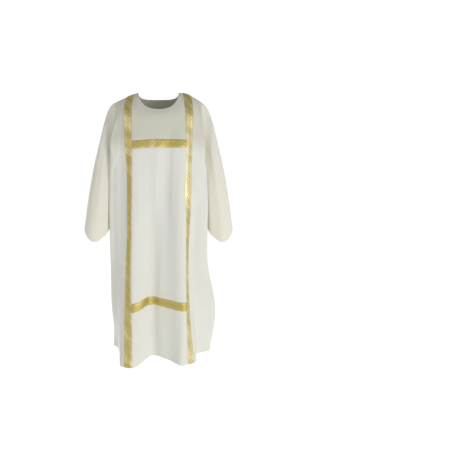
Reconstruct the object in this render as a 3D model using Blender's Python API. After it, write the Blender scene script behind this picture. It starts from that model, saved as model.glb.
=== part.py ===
"""A dalmatic: a wide-sleeved tunic of cream cloth with two long gold bands (clavi) and cross bands.

It hangs from the shoulders as it is worn, with nobody in it. Sizes are in millimetres and become metres
when a mesh is made. +Z is up, the front faces -Y, and the wearer's right is -X. The origin lies between
the two neck points, where the shoulders carry the cloth.
"""

import bmesh
import bpy
import numpy as np

# ---- driving sizes -------------------------------------------------------------------------------------
MM = 0.001
CLOTH = 2.0  # thickness of the walls that stand for the cloth
BAND = 1.2  # thickness of the gold bands
FACING = 1.0  # thickness of the neck facings
SEAM_GAP = 0.3  # gap between two pieces that are sewn or lie together
BAND_WIDTH = 36.0

# Half of the neckline on each panel, from the neck point to the middle. Every row is the top of a column
# of the panel; the share says where that column runs between the two bands below.
NECKLINE = {
    "front": (
        # share, across, reach, drop
        (0.02, 98.0, 0.0, 0.0),
        (0.05, 95.5, 24.0, 5.5),
        (0.09, 91.5, 48.0, 20.0),
        (0.145, 84.5, 69.0, 45.0),
        (0.22, 70.0, 85.5, 69.5),
        (0.29, 54.0, 92.5, 82.5),
        (0.36, 36.0, 95.5, 90.0),
        (0.43, 18.0, 96.7, 93.0),
        (0.5, 0.0, 97.0, 94.0),
    ),
    "back": (
        (0.02, 98.0, 0.0, 0.0),
        (0.05, 95.5, 20.0, 2.5),
        (0.09, 91.0, 38.0, 7.5),
        (0.145, 82.0, 54.0, 12.5),
        (0.22, 68.0, 64.0, 15.5),
        (0.29, 52.0, 69.5, 17.0),
        (0.36, 35.0, 73.0, 17.0),
        (0.43, 18.0, 74.5, 17.0),
        (0.5, 0.0, 75.0, 17.0),
    ),
}
NECK_SLOPE = {"front": 66.0, "back": 26.0}  # how steeply the cloth falls away at its middle, in degrees
FACING_EASE = 1.6  # how far a facing's lower edge hangs clear of the cloth
FACING_EDGE = {"front": (130.0, 148.0), "back": (130.0, 113.0)}  # half width and depth of a facing
UNDERARM = -360.0
SLIT_TOP = -895.0
HEM = -1227.0  # in the middle; the hem hangs lower at the bands

# The shoulder line, from the neck point out to the top of the armhole.
SHOULDER_LINE = (
    # across, height
    (98.0, 0.0),
    (125.0, -4.0),
    (140.0, -9.0),
    (155.0, -15.5),
    (187.0, -34.0),
    (206.0, -46.0),
)
BAND_ON_SHOULDER = 131.0  # middle of a clavus where it crosses the shoulder

# Heights of the rows of each panel beside the armhole. The chest band lies between two of them.
ARMHOLE_ROWS = {
    "front": (-130.0, -165.0, -200.0, -235.0, -270.0, -308.0, -340.0, UNDERARM),
    "back": (-130.0, -165.0, -200.0, -240.0, -279.0, -315.0, -342.0, UNDERARM),
}
CHEST_BAND_TOP = {"front": -235.0, "back": -279.0}
# Rows below the underarm, the same on both panels. The knee band starts at KNEE_BAND_TOP.
SKIRT_ROWS = (
    -420.0, -485.0, -550.0, -620.0, -690.0, -760.0, -830.0, SLIT_TOP,
    -948.0, -983.0, -1035.0, -1085.0, -1135.0, -1181.0, HEM,
)  # fmt: skip
KNEE_BAND_TOP = -948.0
SHOULDER_STEPS = 6  # rows between the top edge and the first armhole row
TOP_PULL, CHEST_PULL = 1.3, 1.4  # how strongly those rows keep their direction at the top and at the chest
LEAST_REACH = 12.0  # the least forward reach that the pull at the top counts with
NECK_TURN = 0.8  # power with which the cloth turns downwards along the neckline

# Columns of each panel: right side, right band, left band, left side. Those between come from NECKLINE.
COLUMNS = {"front": (9, 2, 2, 10), "back": (8, 2, 2, 8)}
BETWEEN = 2 * len(NECKLINE["front"])  # columns between the bands

# ---- sections of the two panels ------------------------------------------------------------------------
SECTION_POINTS = 600  # points on the fine line of one section
PANELS_CENTRE = (0.0, 10.0, -600.0)  # a place inside the garment, which both panels face away from
# Each row is a level section: its height, then x and y of the lines that the cloth runs through, from the
# wearer's right to the left. A clavus line is the middle of a gold band.
FRONT_LINES = (
    "edge_r", "flank_r", "clavus_r", "ridge_r", "rise_r", "middle",
    "rise_l", "crest_l", "ridge_l", "clavus_l", "flank_l", "tuck_l", "edge_l",
)  # fmt: skip
FRONT_SECTIONS = (
    # armhole
    (-130.0, (-204, -56), (-160, -90), (-140, -97), (-118, -103), (-60, -111), (0, -113),
     (56, -111), (90, -108), (118, -103), (140, -97), (162, -89), (185, -74), (204, -56)),
    # chest
    (-240.0, (-219, -62), (-158, -98), (-136, -111), (-117, -122), (-62, -126), (-6, -125),
     (50, -126), (90, -128), (121, -125), (140, -112), (157, -96), (185, -82), (211, -62)),
    # underarm
    (-360.0, (-223, -53), (-146, -99), (-131, -116), (-116, -131), (-66, -132), (-10, -124),
     (42, -124), (88, -132), (117, -131), (136, -119), (155, -102), (186, -84), (217, -58)),
    (-460.0, (-224, -52), (-145, -98), (-130, -115), (-116, -131), (-70, -133), (-14, -120),
     (36, -121), (88, -135), (114, -134), (132, -128), (151, -114), (181, -90), (220, -58)),
    # waist
    (-550.0, (-225, -50), (-145, -97), (-130, -115), (-118, -134), (-72, -134), (-16, -117),
     (30, -120), (88, -137), (117, -137), (134, -122), (149, -103), (174, -87), (222, -57)),
    (-640.0, (-226, -43), (-144, -99), (-130, -117), (-117, -136), (-76, -133), (-20, -111),
     (26, -118), (88, -138), (118, -140), (130, -122), (144, -102), (169, -85), (222, -49)),
    # hip
    (-800.0, (-226, -26), (-149, -98), (-134, -117), (-119, -137), (-80, -132), (-28, -104),
     (16, -115), (88, -138), (119, -141), (130, -122), (144, -99), (167, -80), (230, -30)),
    # knee
    (-1020.0, (-227, 36), (-158, -104), (-135, -129), (-114, -142), (-78, -131), (-34, -94),
     (8, -103), (88, -136), (118, -146), (137, -125), (154, -98), (174, -50), (269, -5)),
    # hem
    (HEM, (-205, 66), (-170, -108), (-134, -154), (-104, -152), (-66, -108), (-16, -66),
     (40, -90), (76, -113), (105, -134), (149, -107), (173, -77), (181, 8), (246, 42)),
)  # fmt: skip
BACK_LINES = (
    "edge_r", "flank_r", "clavus_r", "ridge_r", "rise_r", "middle",
    "rise_l", "ridge_l", "clavus_l", "flank_l", "edge_l",
)  # fmt: skip
BACK_SECTIONS = (
    # armhole
    (-130.0, (-203, 78), (-168, 91), (-139, 101), (-119, 106), (-68, 112), (0, 116),
     (68, 112), (118, 106), (138, 101), (168, 91), (203, 78)),
    # shoulder blades
    (-240.0, (-213, 82), (-166, 105), (-138, 123), (-120, 132), (-68, 134), (0, 135),
     (68, 135), (117, 132), (135, 122), (162, 106), (211, 82)),
    # underarm
    (-360.0, (-212, 72), (-165, 115), (-137, 135), (-120, 145), (-70, 148), (0, 149),
     (70, 149), (115, 146), (132, 135), (160, 114), (210, 70)),
    (-460.0, (-211, 72), (-165, 121), (-137, 141), (-119, 152), (-72, 153), (-2, 154),
     (70, 155), (114, 153), (130, 142), (156, 120), (209, 70)),
    # waist
    (-550.0, (-210, 72), (-165, 124), (-137, 145), (-119, 156), (-74, 156), (-4, 158),
     (68, 159), (113, 158), (128, 143), (150, 119), (208, 70)),
    # hip
    (-800.0, (-212, 74), (-164, 132), (-137, 153), (-119, 166), (-76, 163), (-6, 167),
     (64, 168), (112, 170), (127, 155), (148, 130), (218, 72)),
    # knee
    (-1020.0, (-210, 104), (-166, 143), (-138, 163), (-120, 174), (-78, 166), (-8, 174),
     (60, 174), (113, 177), (129, 164), (151, 141), (226, 92)),
    # hem
    (HEM, (-202, 143), (-170, 156), (-140, 172), (-121, 182), (-80, 166), (-10, 182),
     (56, 178), (116, 182), (134, 171), (158, 150), (216, 108)),
)  # fmt: skip

# The edge of the armhole on each panel, down to the underarm.
ARMHOLE_EDGE = {
    "front": (
        # height, right, left
        (-130.0, (-201, -36), (201, -36)),
        (-240.0, (-204, -22), (201, -22)),
        (-325.0, (-206, -16), (201, -16)),
    ),
    "back": (
        (-130.0, (-200, 60), (200, 60)),
        (-240.0, (-204, 50), (201, 50)),
        (-325.0, (-206, 26), (201, 26)),
    ),
}
# The side seams, which the two panels share down to the slits, and the middle of each slit below.
SIDE_SEAM = (
    # height, right, left
    (UNDERARM, (-206, 3), (201, 3)),
    (-550.0, (-207, 8), (203, 8)),
    (-800.0, (-208, 22), (214, 22)),
    (-1020.0, (-211, 66), (246, 30)),
    (HEM, (-210, 121), (233, 68)),
)
SLIT_CURVE = 1.4  # power with which the slits open on the way to the hem
SLIT_SPREAD = {"front": ((-13, -9), (9, -11)), "back": ((9, 11), (-9, 13))}  # at the hem: right, left

# How far a level row of cloth hangs below its height in the middle.
DROPS = {
    "front": (
        # height, right band, left band, right side, left side
        (-130.0, 6.0, 5.0, 12.0, 12.0),
        (-240.0, 7.0, 3.0, 10.0, 10.0),
        (UNDERARM, 8.0, 5.0, 0.0, 0.0),
        (-800.0, 12.0, 8.0, 0.0, 0.0),
        (-965.0, 26.0, 15.0, 0.0, 0.0),
        (HEM, 20.0, 18.0, 2.0, 8.0),
    ),
    "back": (
        (-130.0, 3.0, 5.0, 12.0, 12.0),
        (-300.0, 2.0, 9.0, 8.0, 8.0),
        (UNDERARM, 3.0, 7.0, 0.0, 0.0),
        (-800.0, 5.0, 6.0, 0.0, 0.0),
        (HEM, 14.0, 12.0, 2.0, 8.0),
    ),
}

# Soft folds on top of the sections: place across the cloth from the middle line, half width, and how far
# the fold stands out at the chest, the hip and the hem. Less than nothing is a trough.
FOLDS = {
    "front": (
        # name, place, half width, chest, hip, hem
        ("breast_crease", -56.0, 16.0, -2.5, -1.5, 0.0),
        ("middle_pleat", 6.0, 16.0, 3.0, 1.0, 0.0),
        ("left_crease", 60.0, 15.0, -3.0, -1.0, 0.0),
        ("right_flank", -196.0, 20.0, 2.0, 5.0, 8.0),
        ("left_flank", 215.0, 22.0, 2.0, -6.0, 0.0),
    ),
    "back": (
        ("left_trough", 48.0, 24.0, -2.0, -8.0, -11.0),
        ("middle_ridge", -28.0, 26.0, 3.0, 6.0, 7.0),
        ("right_trough", -92.0, 22.0, -1.0, -3.0, -5.0),
        ("right_flank", -194.0, 18.0, 0.0, 4.0, 6.0),
    ),
}
FOLD_LEVELS = (-130.0, -300.0, -800.0, HEM)  # no fold, chest, hip, hem
FOLD_FADE = 30.0  # the folds fade out over this distance beside a panel's edges

# ---- rings of a sleeve, for the wearer's left; the right one is its mirror image ------------------------
SLEEVE_RINGS = (
    # share of length, outer line, inner line, y of the front and back, how far front and back sag
    (0.26, (262, 16, -154), (221, 18, -394), (-46, 84), (12, 10)),
    (0.42, (284, 22, -246), (222, 26, -428), (-58, 104), (26, 20)),
    (0.58, (305, 26, -335), (222, 34, -470), (-66, 118), (40, 30)),
    (0.78, (332, 28, -488), (223, 42, -542), (-72, 130), (56, 42)),
    (1.00, (352, 28, -640), (224, 48, -616), (-76, 138), (71, 52)),
)
SLEEVE_SHARES = (0.0, 0.035, 0.07, 0.11, 0.18, 0.26, 0.34, 0.42, 0.5, 0.58, 0.68, 0.78, 0.89, 1.0)
SLEEVE_FULLNESS = 0.75  # power of a ring's depth: 1 is an ellipse, and less is fuller
SLEEVE_RUN_IN = 26.0  # how far a sleeve first keeps to the panels' own direction
SHOULDER_PULL, UNDERARM_PULL = 0.45, 0.4  # more of the same, as shares of the way to the first ring
UNDERARM_RUN = (0.8, 0.0, -0.6)  # the direction in which a sleeve leaves the underarm, on the left
UNDERARM_POWER = 5  # how closely that direction keeps to the underarm
NEXT_RING = 0.01  # share of length over which the first ring's direction is taken

# ---- walls ---------------------------------------------------------------------------------------------
FACING_POWER = 2.5  # roundness of a facing's lower edge: 2 is an ellipse, and more is squarer
FACING_INSET = 1.0  # how far below the neckline a facing starts
FACING_ROWS = 9
FACING_SAMPLES = 400  # places on each column where the facing's edge is looked for
FACING_REACH = 10  # rows of a panel within which the facing ends
SHARP_EDGE = 50.0  # degrees

COLOURS = {
    # red, green, blue, roughness, metallic
    "cream_cloth": (0.74, 0.73, 0.65, 0.75, 0.0),
    "gold_band": (0.62, 0.52, 0.24, 0.42, 0.6),
    "facing_cloth": (0.70, 0.68, 0.56, 0.8, 0.0),
}


# ---- curves --------------------------------------------------------------------------------------------
def hermite(start, end, leave, arrive, t):
    """Cubic curve from start to end, which leaves and arrives in the given directions."""
    return (
        start * (2 * t**3 - 3 * t**2 + 1)
        + leave * (t**3 - 2 * t**2 + t)
        + end * (3 * t**2 - 2 * t**3)
        + arrive * (t**3 - t**2)
    )


def spline(knots, values, at):
    """Smooth curve through values at the knots: cubic pieces whose slopes come from the neighbours."""
    knots, values, at = (np.asarray(a, float) for a in (knots, values, at))
    deep = (-1, *[1] * (values.ndim - 1))
    steps = np.diff(knots)
    rates = np.diff(values, axis=0) / steps.reshape(deep)
    slopes = np.empty_like(values)
    slopes[0], slopes[-1] = rates[0], rates[-1]
    before = (steps[1:] / (steps[1:] + steps[:-1])).reshape(deep)
    slopes[1:-1] = before * rates[:-1] + (1 - before) * rates[1:]
    i = np.clip(np.searchsorted(knots, at) - 1, 0, len(steps) - 1)
    t, h = ((at - knots[i]) / steps[i]).reshape(deep), steps[i].reshape(deep)
    return hermite(values[i], values[i + 1], slopes[i] * h, slopes[i + 1] * h, t)


def unit(vectors):
    return vectors / np.linalg.norm(vectors, axis=-1, keepdims=True)


def lengths_along(points):
    """Distance along a line of points, from its first point."""
    return np.concatenate([[0.0], np.cumsum(np.linalg.norm(np.diff(points, axis=0), axis=1))])


def by_height(table, height):
    """A table's row at this height, between its own rows. The first column is the height."""
    heights = [-row[0] for row in table]
    return spline(heights, [np.hstack(row[1:]) for row in table], [-height])[0]


# ---- panels --------------------------------------------------------------------------------------------
def side_edge(panel, height, side):
    """The panel's edge at the armhole, the side seam or the slit. side is 0 on the right, 1 on the left."""
    seam = [(row[0], row[1 + side]) for row in SIDE_SEAM]
    if height > UNDERARM:
        hole = [(row[0], row[1 + side]) for row in ARMHOLE_EDGE[panel]]
        return by_height(hole + seam[:1], height)
    opened = max(0.0, (SLIT_TOP - height) / (SLIT_TOP - HEM)) ** SLIT_CURVE
    return by_height(seam, height) + opened * np.array(SLIT_SPREAD[panel][side], float)


def fold_height(panel, across, height):
    """How far the soft folds lift the cloth at these distances across it."""
    lift = np.zeros_like(across)
    for _, place, half_width, chest, hip, hem in FOLDS[panel]:
        stands_out = np.interp(-height, [-level for level in FOLD_LEVELS], [0.0, chest, hip, hem])
        lift += stands_out * np.exp(-(((across - place) / half_width) ** 2))
    return lift


def section(panel, height):
    """A fine line of points across the panel at this height, with the distances of its named lines."""
    if panel == "front":
        names, sections, outward_sign = FRONT_LINES, FRONT_SECTIONS, 1
    else:
        names, sections, outward_sign = BACK_LINES, BACK_SECTIONS, -1
    inner = by_height(sections, height).reshape(-1, 2)
    corners = np.vstack([side_edge(panel, height, 0), inner, side_edge(panel, height, 1)])
    spans = np.linalg.norm(np.diff(corners, axis=0), axis=1)
    knots = np.concatenate([[0.0], np.cumsum(np.sqrt(spans))])
    fine = np.linspace(0, knots[-1], SECTION_POINTS)
    line = spline(knots, corners, fine)
    along = lengths_along(line)
    places = dict(zip(("seam_r", *names, "seam_l"), np.interp(knots, fine, along)))

    turn = unit(np.gradient(line, axis=0))
    outward = np.column_stack([turn[:, 1], -turn[:, 0]]) * outward_sign
    from_middle = along - places["middle"]
    fade = np.minimum(1.0, np.minimum(along, along[-1] - along) / FOLD_FADE)
    line = line + outward * (fold_height(panel, from_middle, height) * fade)[:, None]

    right_band, left_band, right_side, left_side = by_height(DROPS[panel], height)
    hang = np.zeros_like(along)
    for sign, band_drop, side_drop, name in (
        (-1, right_band, right_side, "clavus_r"),
        (1, left_band, left_side, "clavus_l"),
    ):
        reach = abs(places[name] - places["middle"])
        to_band = np.clip(sign * from_middle / reach, 0, 1)
        end = along[-1] - places["middle"] if sign == 1 else places["middle"]
        to_side = np.clip((sign * from_middle - reach) / (end - reach), 0, 1)
        hang += band_drop * np.sin(to_band * np.pi / 2) ** 2
        hang += (side_drop - band_drop) * np.sin(to_side * np.pi / 2) ** 2
    return np.column_stack([line, height - hang]), along, places


def column_places(panel, along, places):
    """Distances across the panel of its columns: even at the sides and on the bands, and spread between
    the bands as the neckline asks."""
    half = BAND_WIDTH / 2
    right_side, right_band, left_band, left_side = COLUMNS[panel]
    right, left = places["clavus_r"], places["clavus_l"]
    shares = np.array([row[0] for row in NECKLINE[panel]])
    shares = np.concatenate([shares, 1 - shares[-2::-1]])
    return np.concatenate([
        np.linspace(0.0, right - half, right_side, endpoint=False),
        np.linspace(right - half, right + half, right_band + 1),
        right + half + shares * (left - right - 2 * half),
        np.linspace(left - half, left + half, left_band + 1),
        np.linspace(along[-1], left + half, left_side, endpoint=False)[::-1],
    ])


def neck_columns(panel):
    """The columns where the neckline starts and ends, at the right and left neck points."""
    start = sum(COLUMNS[panel][:2]) + 1
    return start, start + BETWEEN - 2


def top_edge(panel):
    """The panel's top edge, column by column, and the way in which the cloth leaves it."""
    right_side, right_band, left_band, left_side = COLUMNS[panel]
    reach, fall = np.array(SHOULDER_LINE).T
    outer, inner = BAND_ON_SHOULDER + BAND_WIDTH / 2, BAND_ON_SHOULDER - BAND_WIDTH / 2

    def shoulder(side, band, sign):
        across = np.concatenate([
            np.linspace(reach[-1], outer, side, endpoint=False),
            np.linspace(outer, inner, band + 1),
        ])
        return np.column_stack([sign * across, np.zeros_like(across), spline(reach, fall, across)])

    half = np.array(NECKLINE[panel])[:, 1:]
    neck = np.vstack([half * (-1, 1, -1), half[-2::-1] * (1, 1, -1)])
    right = shoulder(right_side, right_band, -1)
    points = np.vstack([right, neck, shoulder(left_side, left_band, 1)[::-1]])
    steep = np.zeros(len(points))
    reached = (neck[:, 1] / neck[:, 1].max()) ** NECK_TURN
    steep[len(right) : len(right) + len(neck)] = reached * np.radians(NECK_SLOPE[panel])
    leave = np.column_stack([np.zeros_like(steep), np.cos(steep), -np.sin(steep)])
    if panel == "front":
        points[:, 1] *= -1
        leave[:, 1] *= -1
    return points, leave


def panel_grid(panel):
    """The panel's outer face as a grid of points: rows from the top edge to the hem, columns across."""
    rows = []
    for height in (*ARMHOLE_ROWS[panel], *SKIRT_ROWS):
        line, along, places = section(panel, height)
        at = column_places(panel, along, places)
        rows.append(np.column_stack([np.interp(at, along, line[:, k]) for k in range(3)]))
    rows = np.array(rows)
    top, leave = top_edge(panel)
    span = rows[0] - top
    leave = leave * TOP_PULL * np.maximum(np.abs(span[:, 1:2]), LEAST_REACH) + span * (1, 0, 0)
    arrive = unit(rows[1] - rows[0]) * CHEST_PULL * np.abs(span[:, 2:3])
    upper = [
        hermite(top, rows[0], leave, arrive, t)
        for t in np.linspace(0, 1, SHOULDER_STEPS, endpoint=False)
    ]
    return np.concatenate([upper, rows])


# ---- sleeves -------------------------------------------------------------------------------------------
def sleeve_grid(front, back, side):
    """A sleeve's outer face: rows from the armhole to the cuff, each a ring of columns. The first ring is
    the armhole's edge on the two panels, and column 0 is at the top of the shoulder."""
    depth = SHOULDER_STEPS + len(ARMHOLE_ROWS["front"])
    edge, neighbour = (0, 1) if side == "right" else (-1, -2)
    sign = -1.0 if side == "right" else 1.0
    hole = np.vstack([front[:depth, edge], back[depth - 2 : 0 : -1, edge]])
    inside = np.vstack([front[:depth, neighbour], back[depth - 2 : 0 : -1, neighbour]])

    around = lengths_along(np.vstack([hole, hole[:1]]))
    to_underarm, whole = around[depth - 1], around[-1]
    around = around[:-1]
    angle = np.where(
        around <= to_underarm,
        np.pi * around / to_underarm,
        np.pi + np.pi * (around - to_underarm) / (whole - to_underarm),
    )
    low = (np.clip(-np.cos(angle), 0, 1) ** UNDERARM_POWER)[:, None]
    run_out = unit(unit(hole - inside) * (1 - low) + np.array(UNDERARM_RUN) * (sign, 1, 1) * low)

    rings = []
    for _, outer, inner, faces, sags in SLEEVE_RINGS:
        outer, inner = np.array(outer, float), np.array(inner, float)
        middle = (outer + inner) / 2
        to_front, to_back = (np.array([0.0, y - middle[1], -s]) for y, s in zip(faces, sags))
        turned = np.sin(angle)[:, None]
        ring = middle + np.outer(np.cos(angle), (outer - inner) / 2)
        bulge = np.where(turned > 0, to_front, to_back)
        ring[:, 1:2] += np.abs(turned) ** SLEEVE_FULLNESS * bulge[:, 1:2]
        ring[:, 2:3] += turned**2 * bulge[:, 2:3]
        rings.append(ring * (sign, 1, 1))
    shares, rings = [row[0] for row in SLEEVE_RINGS], np.array(rings)
    first, second = rings[0], spline(shares, rings, [shares[0] + NEXT_RING])[0]
    gap = np.linalg.norm(first - hole, axis=1, keepdims=True)
    kept = SLEEVE_RUN_IN * np.abs(np.sin(angle))[:, None]
    high = (1 + np.cos(angle))[:, None]
    leave = run_out * (kept + gap * (SHOULDER_PULL * high + UNDERARM_PULL * low))
    arrive = unit(second - first) * gap
    return np.array([
        hermite(hole, first, leave, arrive, share / shares[0])
        if share < shares[0]
        else spline(shares, rings, [share])[0]
        for share in SLEEVE_SHARES
    ])


# ---- normals and seams ---------------------------------------------------------------------------------
def grid_normals(grid, centre, ring=False):
    """Unit normals at a grid of points, on the side away from the centre. Each point takes the normals of
    the cells around it, the larger cells counting more."""
    closed = np.concatenate([grid, grid[:, :1]], axis=1) if ring else grid
    cells = np.cross(closed[1:, 1:] - closed[:-1, :-1], closed[1:, :-1] - closed[:-1, 1:])
    cells = np.pad(cells, ((1, 1), (0, 0), (0, 0)))
    if ring:
        cells = np.concatenate([cells[:, -1:], cells], axis=1)
    else:
        cells = np.pad(cells, ((0, 0), (1, 1), (0, 0)))
    normals = unit(cells[1:, 1:] + cells[1:, :-1] + cells[:-1, 1:] + cells[:-1, :-1])
    away = np.median(np.sum(normals * (grid - centre), axis=-1))
    return normals * np.sign(away)


def agree(*edges):
    """Gives the pieces that meet at a seam one direction there. An edge is (normals, rows, columns)."""
    shared = unit(sum(normals[rows, columns] for normals, rows, columns in edges))
    for normals, rows, columns in edges:
        normals[rows, columns] = shared


def draw_back(grid, axis, index, gap=SEAM_GAP / 2):
    """Moves one edge of a grid back along its own surface, by half the gap of a seam or by this gap."""
    line = np.moveaxis(grid, axis, 0)
    inner = line[1] if index == 0 else line[-2]
    line[index] += unit(inner - line[index]) * gap


def join_seams(points, normals):
    """Makes the normals agree along the seams and leaves half a gap on each side of every seam."""
    depth = SHOULDER_STEPS + len(ARMHOLE_ROWS["front"])
    slit = depth + SKIRT_ROWS.index(SLIT_TOP) + 1
    hole = np.arange(1, depth - 1)
    for panel in ("front", "back"):
        start, stop = neck_columns(panel)
        for seam in (slice(0, start + 1), slice(stop, None)):
            normals[panel][0, seam, 1] = 0.0
            normals[panel][0, seam] = unit(normals[panel][0, seam])
    for side, edge in (("right", 0), ("left", -1)):
        front, back, sleeve = normals["front"], normals["back"], normals[side]
        sleeve[0, 0, 1] = 0.0
        agree((front, 0, edge), (back, 0, edge), (sleeve, 0, 0))
        agree((front, hole, edge), (sleeve, 0, hole))
        agree((back, hole, edge), (sleeve, 0, 2 * depth - 2 - hole))
        agree((front, depth - 1, edge), (back, depth - 1, edge), (sleeve, 0, depth - 1))
        side_rows = np.arange(depth, slit)
        agree((front, side_rows, edge), (back, side_rows, edge))
        draw_back(points[side], 0, 0)
        draw_back(points["front"], 1, edge)
        draw_back(points["back"], 1, edge)
    for panel, way in (("front", -1), ("back", 1)):
        start, stop = neck_columns(panel)
        for seam in (slice(0, start + 1), slice(stop, None)):
            points[panel][0, seam, 1] = way * SEAM_GAP / 2


# ---- solids --------------------------------------------------------------------------------------------
def cloth_wall(name, slot, outer, inner, ring=False, lean=1):
    """A closed wall between two grids of points, with a rim along its open edges. It is lofted, because its
    two faces take their directions at a seam from both of the pieces that meet there, so that their rims
    are parallel, and a cloth of even thickness grown from one face would run into its neighbour. lean says
    which way the corner-to-corner edges run, so that pieces which lie on each other have the same facets."""
    rows, columns = outer.shape[:2]
    bm = bmesh.new()
    outside, inside = (
        [[bm.verts.new(point) for point in row] for row in (grid * MM).tolist()]
        for grid in (outer, inner)
    )
    spans = [(c, (c + 1) % columns) for c in range(columns if ring else columns - 1)]
    for layer in (outside, inside):
        for r in range(rows - 1):
            for c, d in spans:
                a, b, e, f = layer[r][c], layer[r][d], layer[r + 1][d], layer[r + 1][c]
                if lean == 1:
                    bm.faces.new((a, b, e))
                    bm.faces.new((a, e, f))
                else:
                    bm.faces.new((a, b, f))
                    bm.faces.new((b, e, f))
    rim = [(r, c, r, d, ring and c >= columns // 2) for r in (0, rows - 1) for c, d in spans]
    if not ring:
        rim += [(r, c, r + 1, c, False) for c in (0, columns - 1) for r in range(rows - 1)]
    for r, c, s, d, mirrored in rim:
        a, b, e, f = outside[r][c], outside[s][d], inside[s][d], inside[r][c]
        if mirrored:
            a, b, e, f = b, a, f, e
        bm.faces.new((a, b, e))
        bm.faces.new((a, e, f))
    bmesh.ops.recalc_face_normals(bm, faces=bm.faces)
    mesh = bpy.data.meshes.new(name)
    bm.to_mesh(mesh)
    bm.free()
    mesh.shade_smooth()
    mesh.set_sharp_from_angle(angle=np.radians(SHARP_EDGE))
    mesh.materials.append(material(slot))
    garment.objects.link(bpy.data.objects.new(name, mesh))


def material(slot):
    """A plain finish in the piece's colour, made once."""
    if slot in bpy.data.materials:
        return bpy.data.materials[slot]
    made = bpy.data.materials.new(slot)
    made.use_nodes = True
    red, green, blue, roughness, metallic = COLOURS[slot]
    inputs = made.node_tree.nodes["Principled BSDF"].inputs
    inputs["Base Color"].default_value = (red, green, blue, 1)
    inputs["Roughness"].default_value = roughness
    inputs["Metallic"].default_value = metallic
    return made


def band_on(name, points, normals, lean=1):
    """A gold band that lies on the cloth: the cloth's own points, moved out."""
    outer = points + normals * (SEAM_GAP + BAND)
    cloth_wall(name, "gold_band", outer, points + normals * SEAM_GAP, lean=lean)


def clavus(name, points, normals, side):
    """One long band from the front hem over the shoulder to the back hem."""
    band = {}
    for panel in ("front", "back"):
        start = COLUMNS[panel][0] if side == "right" else sum(COLUMNS[panel][:2]) + BETWEEN
        part = (slice(None), slice(start, start + COLUMNS[panel][1] + 1))
        band[panel] = np.stack([points[panel][part], normals[panel][part]])
    strip = np.concatenate([band["back"][:, :0:-1], band["front"]], axis=1)
    strip[0, band["back"].shape[1] - 1, :, 1] = 0.0
    band_on(name, strip[0], strip[1])


def cross_band(name, panel, points, normals, top):
    """A band that runs across the panel from one clavus to the other."""
    heights = (*ARMHOLE_ROWS[panel], *SKIRT_ROWS)
    row = SHOULDER_STEPS + heights.index(top)
    start = sum(COLUMNS[panel][:2])
    part = (slice(row, row + 2), slice(start, start + BETWEEN + 1))
    strip = points[panel][part].copy()
    for edge in (0, -1):
        draw_back(strip, 1, edge, SEAM_GAP)
    band_on(name, strip, normals[panel][part], lean=1 if panel == "front" else -1)


def neck_facing(name, panel, points, normals):
    """A facing inside the neck. Its lower edge is a rounded arch from shoulder seam to shoulder seam."""
    start, stop = neck_columns(panel)
    half_width, deep = FACING_EDGE[panel]
    columns = []
    for c in range(start - 1, stop + 2):
        line, out = points[panel][:FACING_REACH, c], normals[panel][:FACING_REACH, c]
        along = lengths_along(line)
        fine = np.linspace(0, along[-1], FACING_SAMPLES)
        x, _, z = (np.interp(fine, along, line[:, k]) for k in range(3))
        past = (np.abs(x) / half_width) ** FACING_POWER + (np.abs(z) / deep) ** FACING_POWER > 1
        at = np.linspace(FACING_INSET, fine[np.argmax(past)], FACING_ROWS)
        columns.append([
            [np.interp(s, along, layer[:, k]) for k in range(3)] for layer in (line, out) for s in at
        ])
    strip = np.array(columns).transpose(1, 0, 2)
    face, out = strip[:FACING_ROWS], unit(strip[FACING_ROWS:])
    eased = np.linspace(2 * SEAM_GAP, FACING_EASE, len(face))[:, None, None]
    outer = face - out * (CLOTH + SEAM_GAP + eased)
    lean = 1 if panel == "front" else -1
    cloth_wall(name, "facing_cloth", outer, outer - out * FACING, lean=lean)


# ---- the garment ---------------------------------------------------------------------------------------
for old in list(bpy.data.objects):
    bpy.data.objects.remove(old)
garment = bpy.data.collections.new("dalmatic")
bpy.context.scene.collection.children.link(garment)

points = {"front": panel_grid("front"), "back": panel_grid("back")}
for side in ("right", "left"):
    points[side] = sleeve_grid(points["front"], points["back"], side)
normals = {
    name: grid_normals(
        grid,
        PANELS_CENTRE if name in ("front", "back") else grid.mean(axis=1, keepdims=True),
        ring=name in ("right", "left"),
    )
    for name, grid in points.items()
}
join_seams(points, normals)

cloth_wall("front_panel", "cream_cloth", points["front"], points["front"] - normals["front"] * CLOTH)
cloth_wall(
    "back_panel", "cream_cloth", points["back"], points["back"] - normals["back"] * CLOTH, lean=-1
)
for side in ("right", "left"):
    inner = points[side] - normals[side] * CLOTH
    cloth_wall("sleeve_" + side, "cream_cloth", points[side], inner, ring=True)
    clavus("clavus_" + side, points, normals, side)
cross_band("cross_band_front_chest", "front", points, normals, CHEST_BAND_TOP["front"])
cross_band("cross_band_front_knee", "front", points, normals, KNEE_BAND_TOP)
cross_band("cross_band_back_chest", "back", points, normals, CHEST_BAND_TOP["back"])
for panel in ("front", "back"):
    neck_facing("neck_facing_" + panel, panel, points, normals)
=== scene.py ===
# %% [markdown]
# # A dalmatic, worked out as surfaces
# A dalmatic is a wide-sleeved tunic of plain cloth with two long gold bands, the clavi, that run from hem to
# hem over the shoulders, and shorter bands that cross between them. This lesson dresses a plain model of one.
# The plain model is loaded first and stays as it is: every new piece lies where its plain solid lies.

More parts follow.
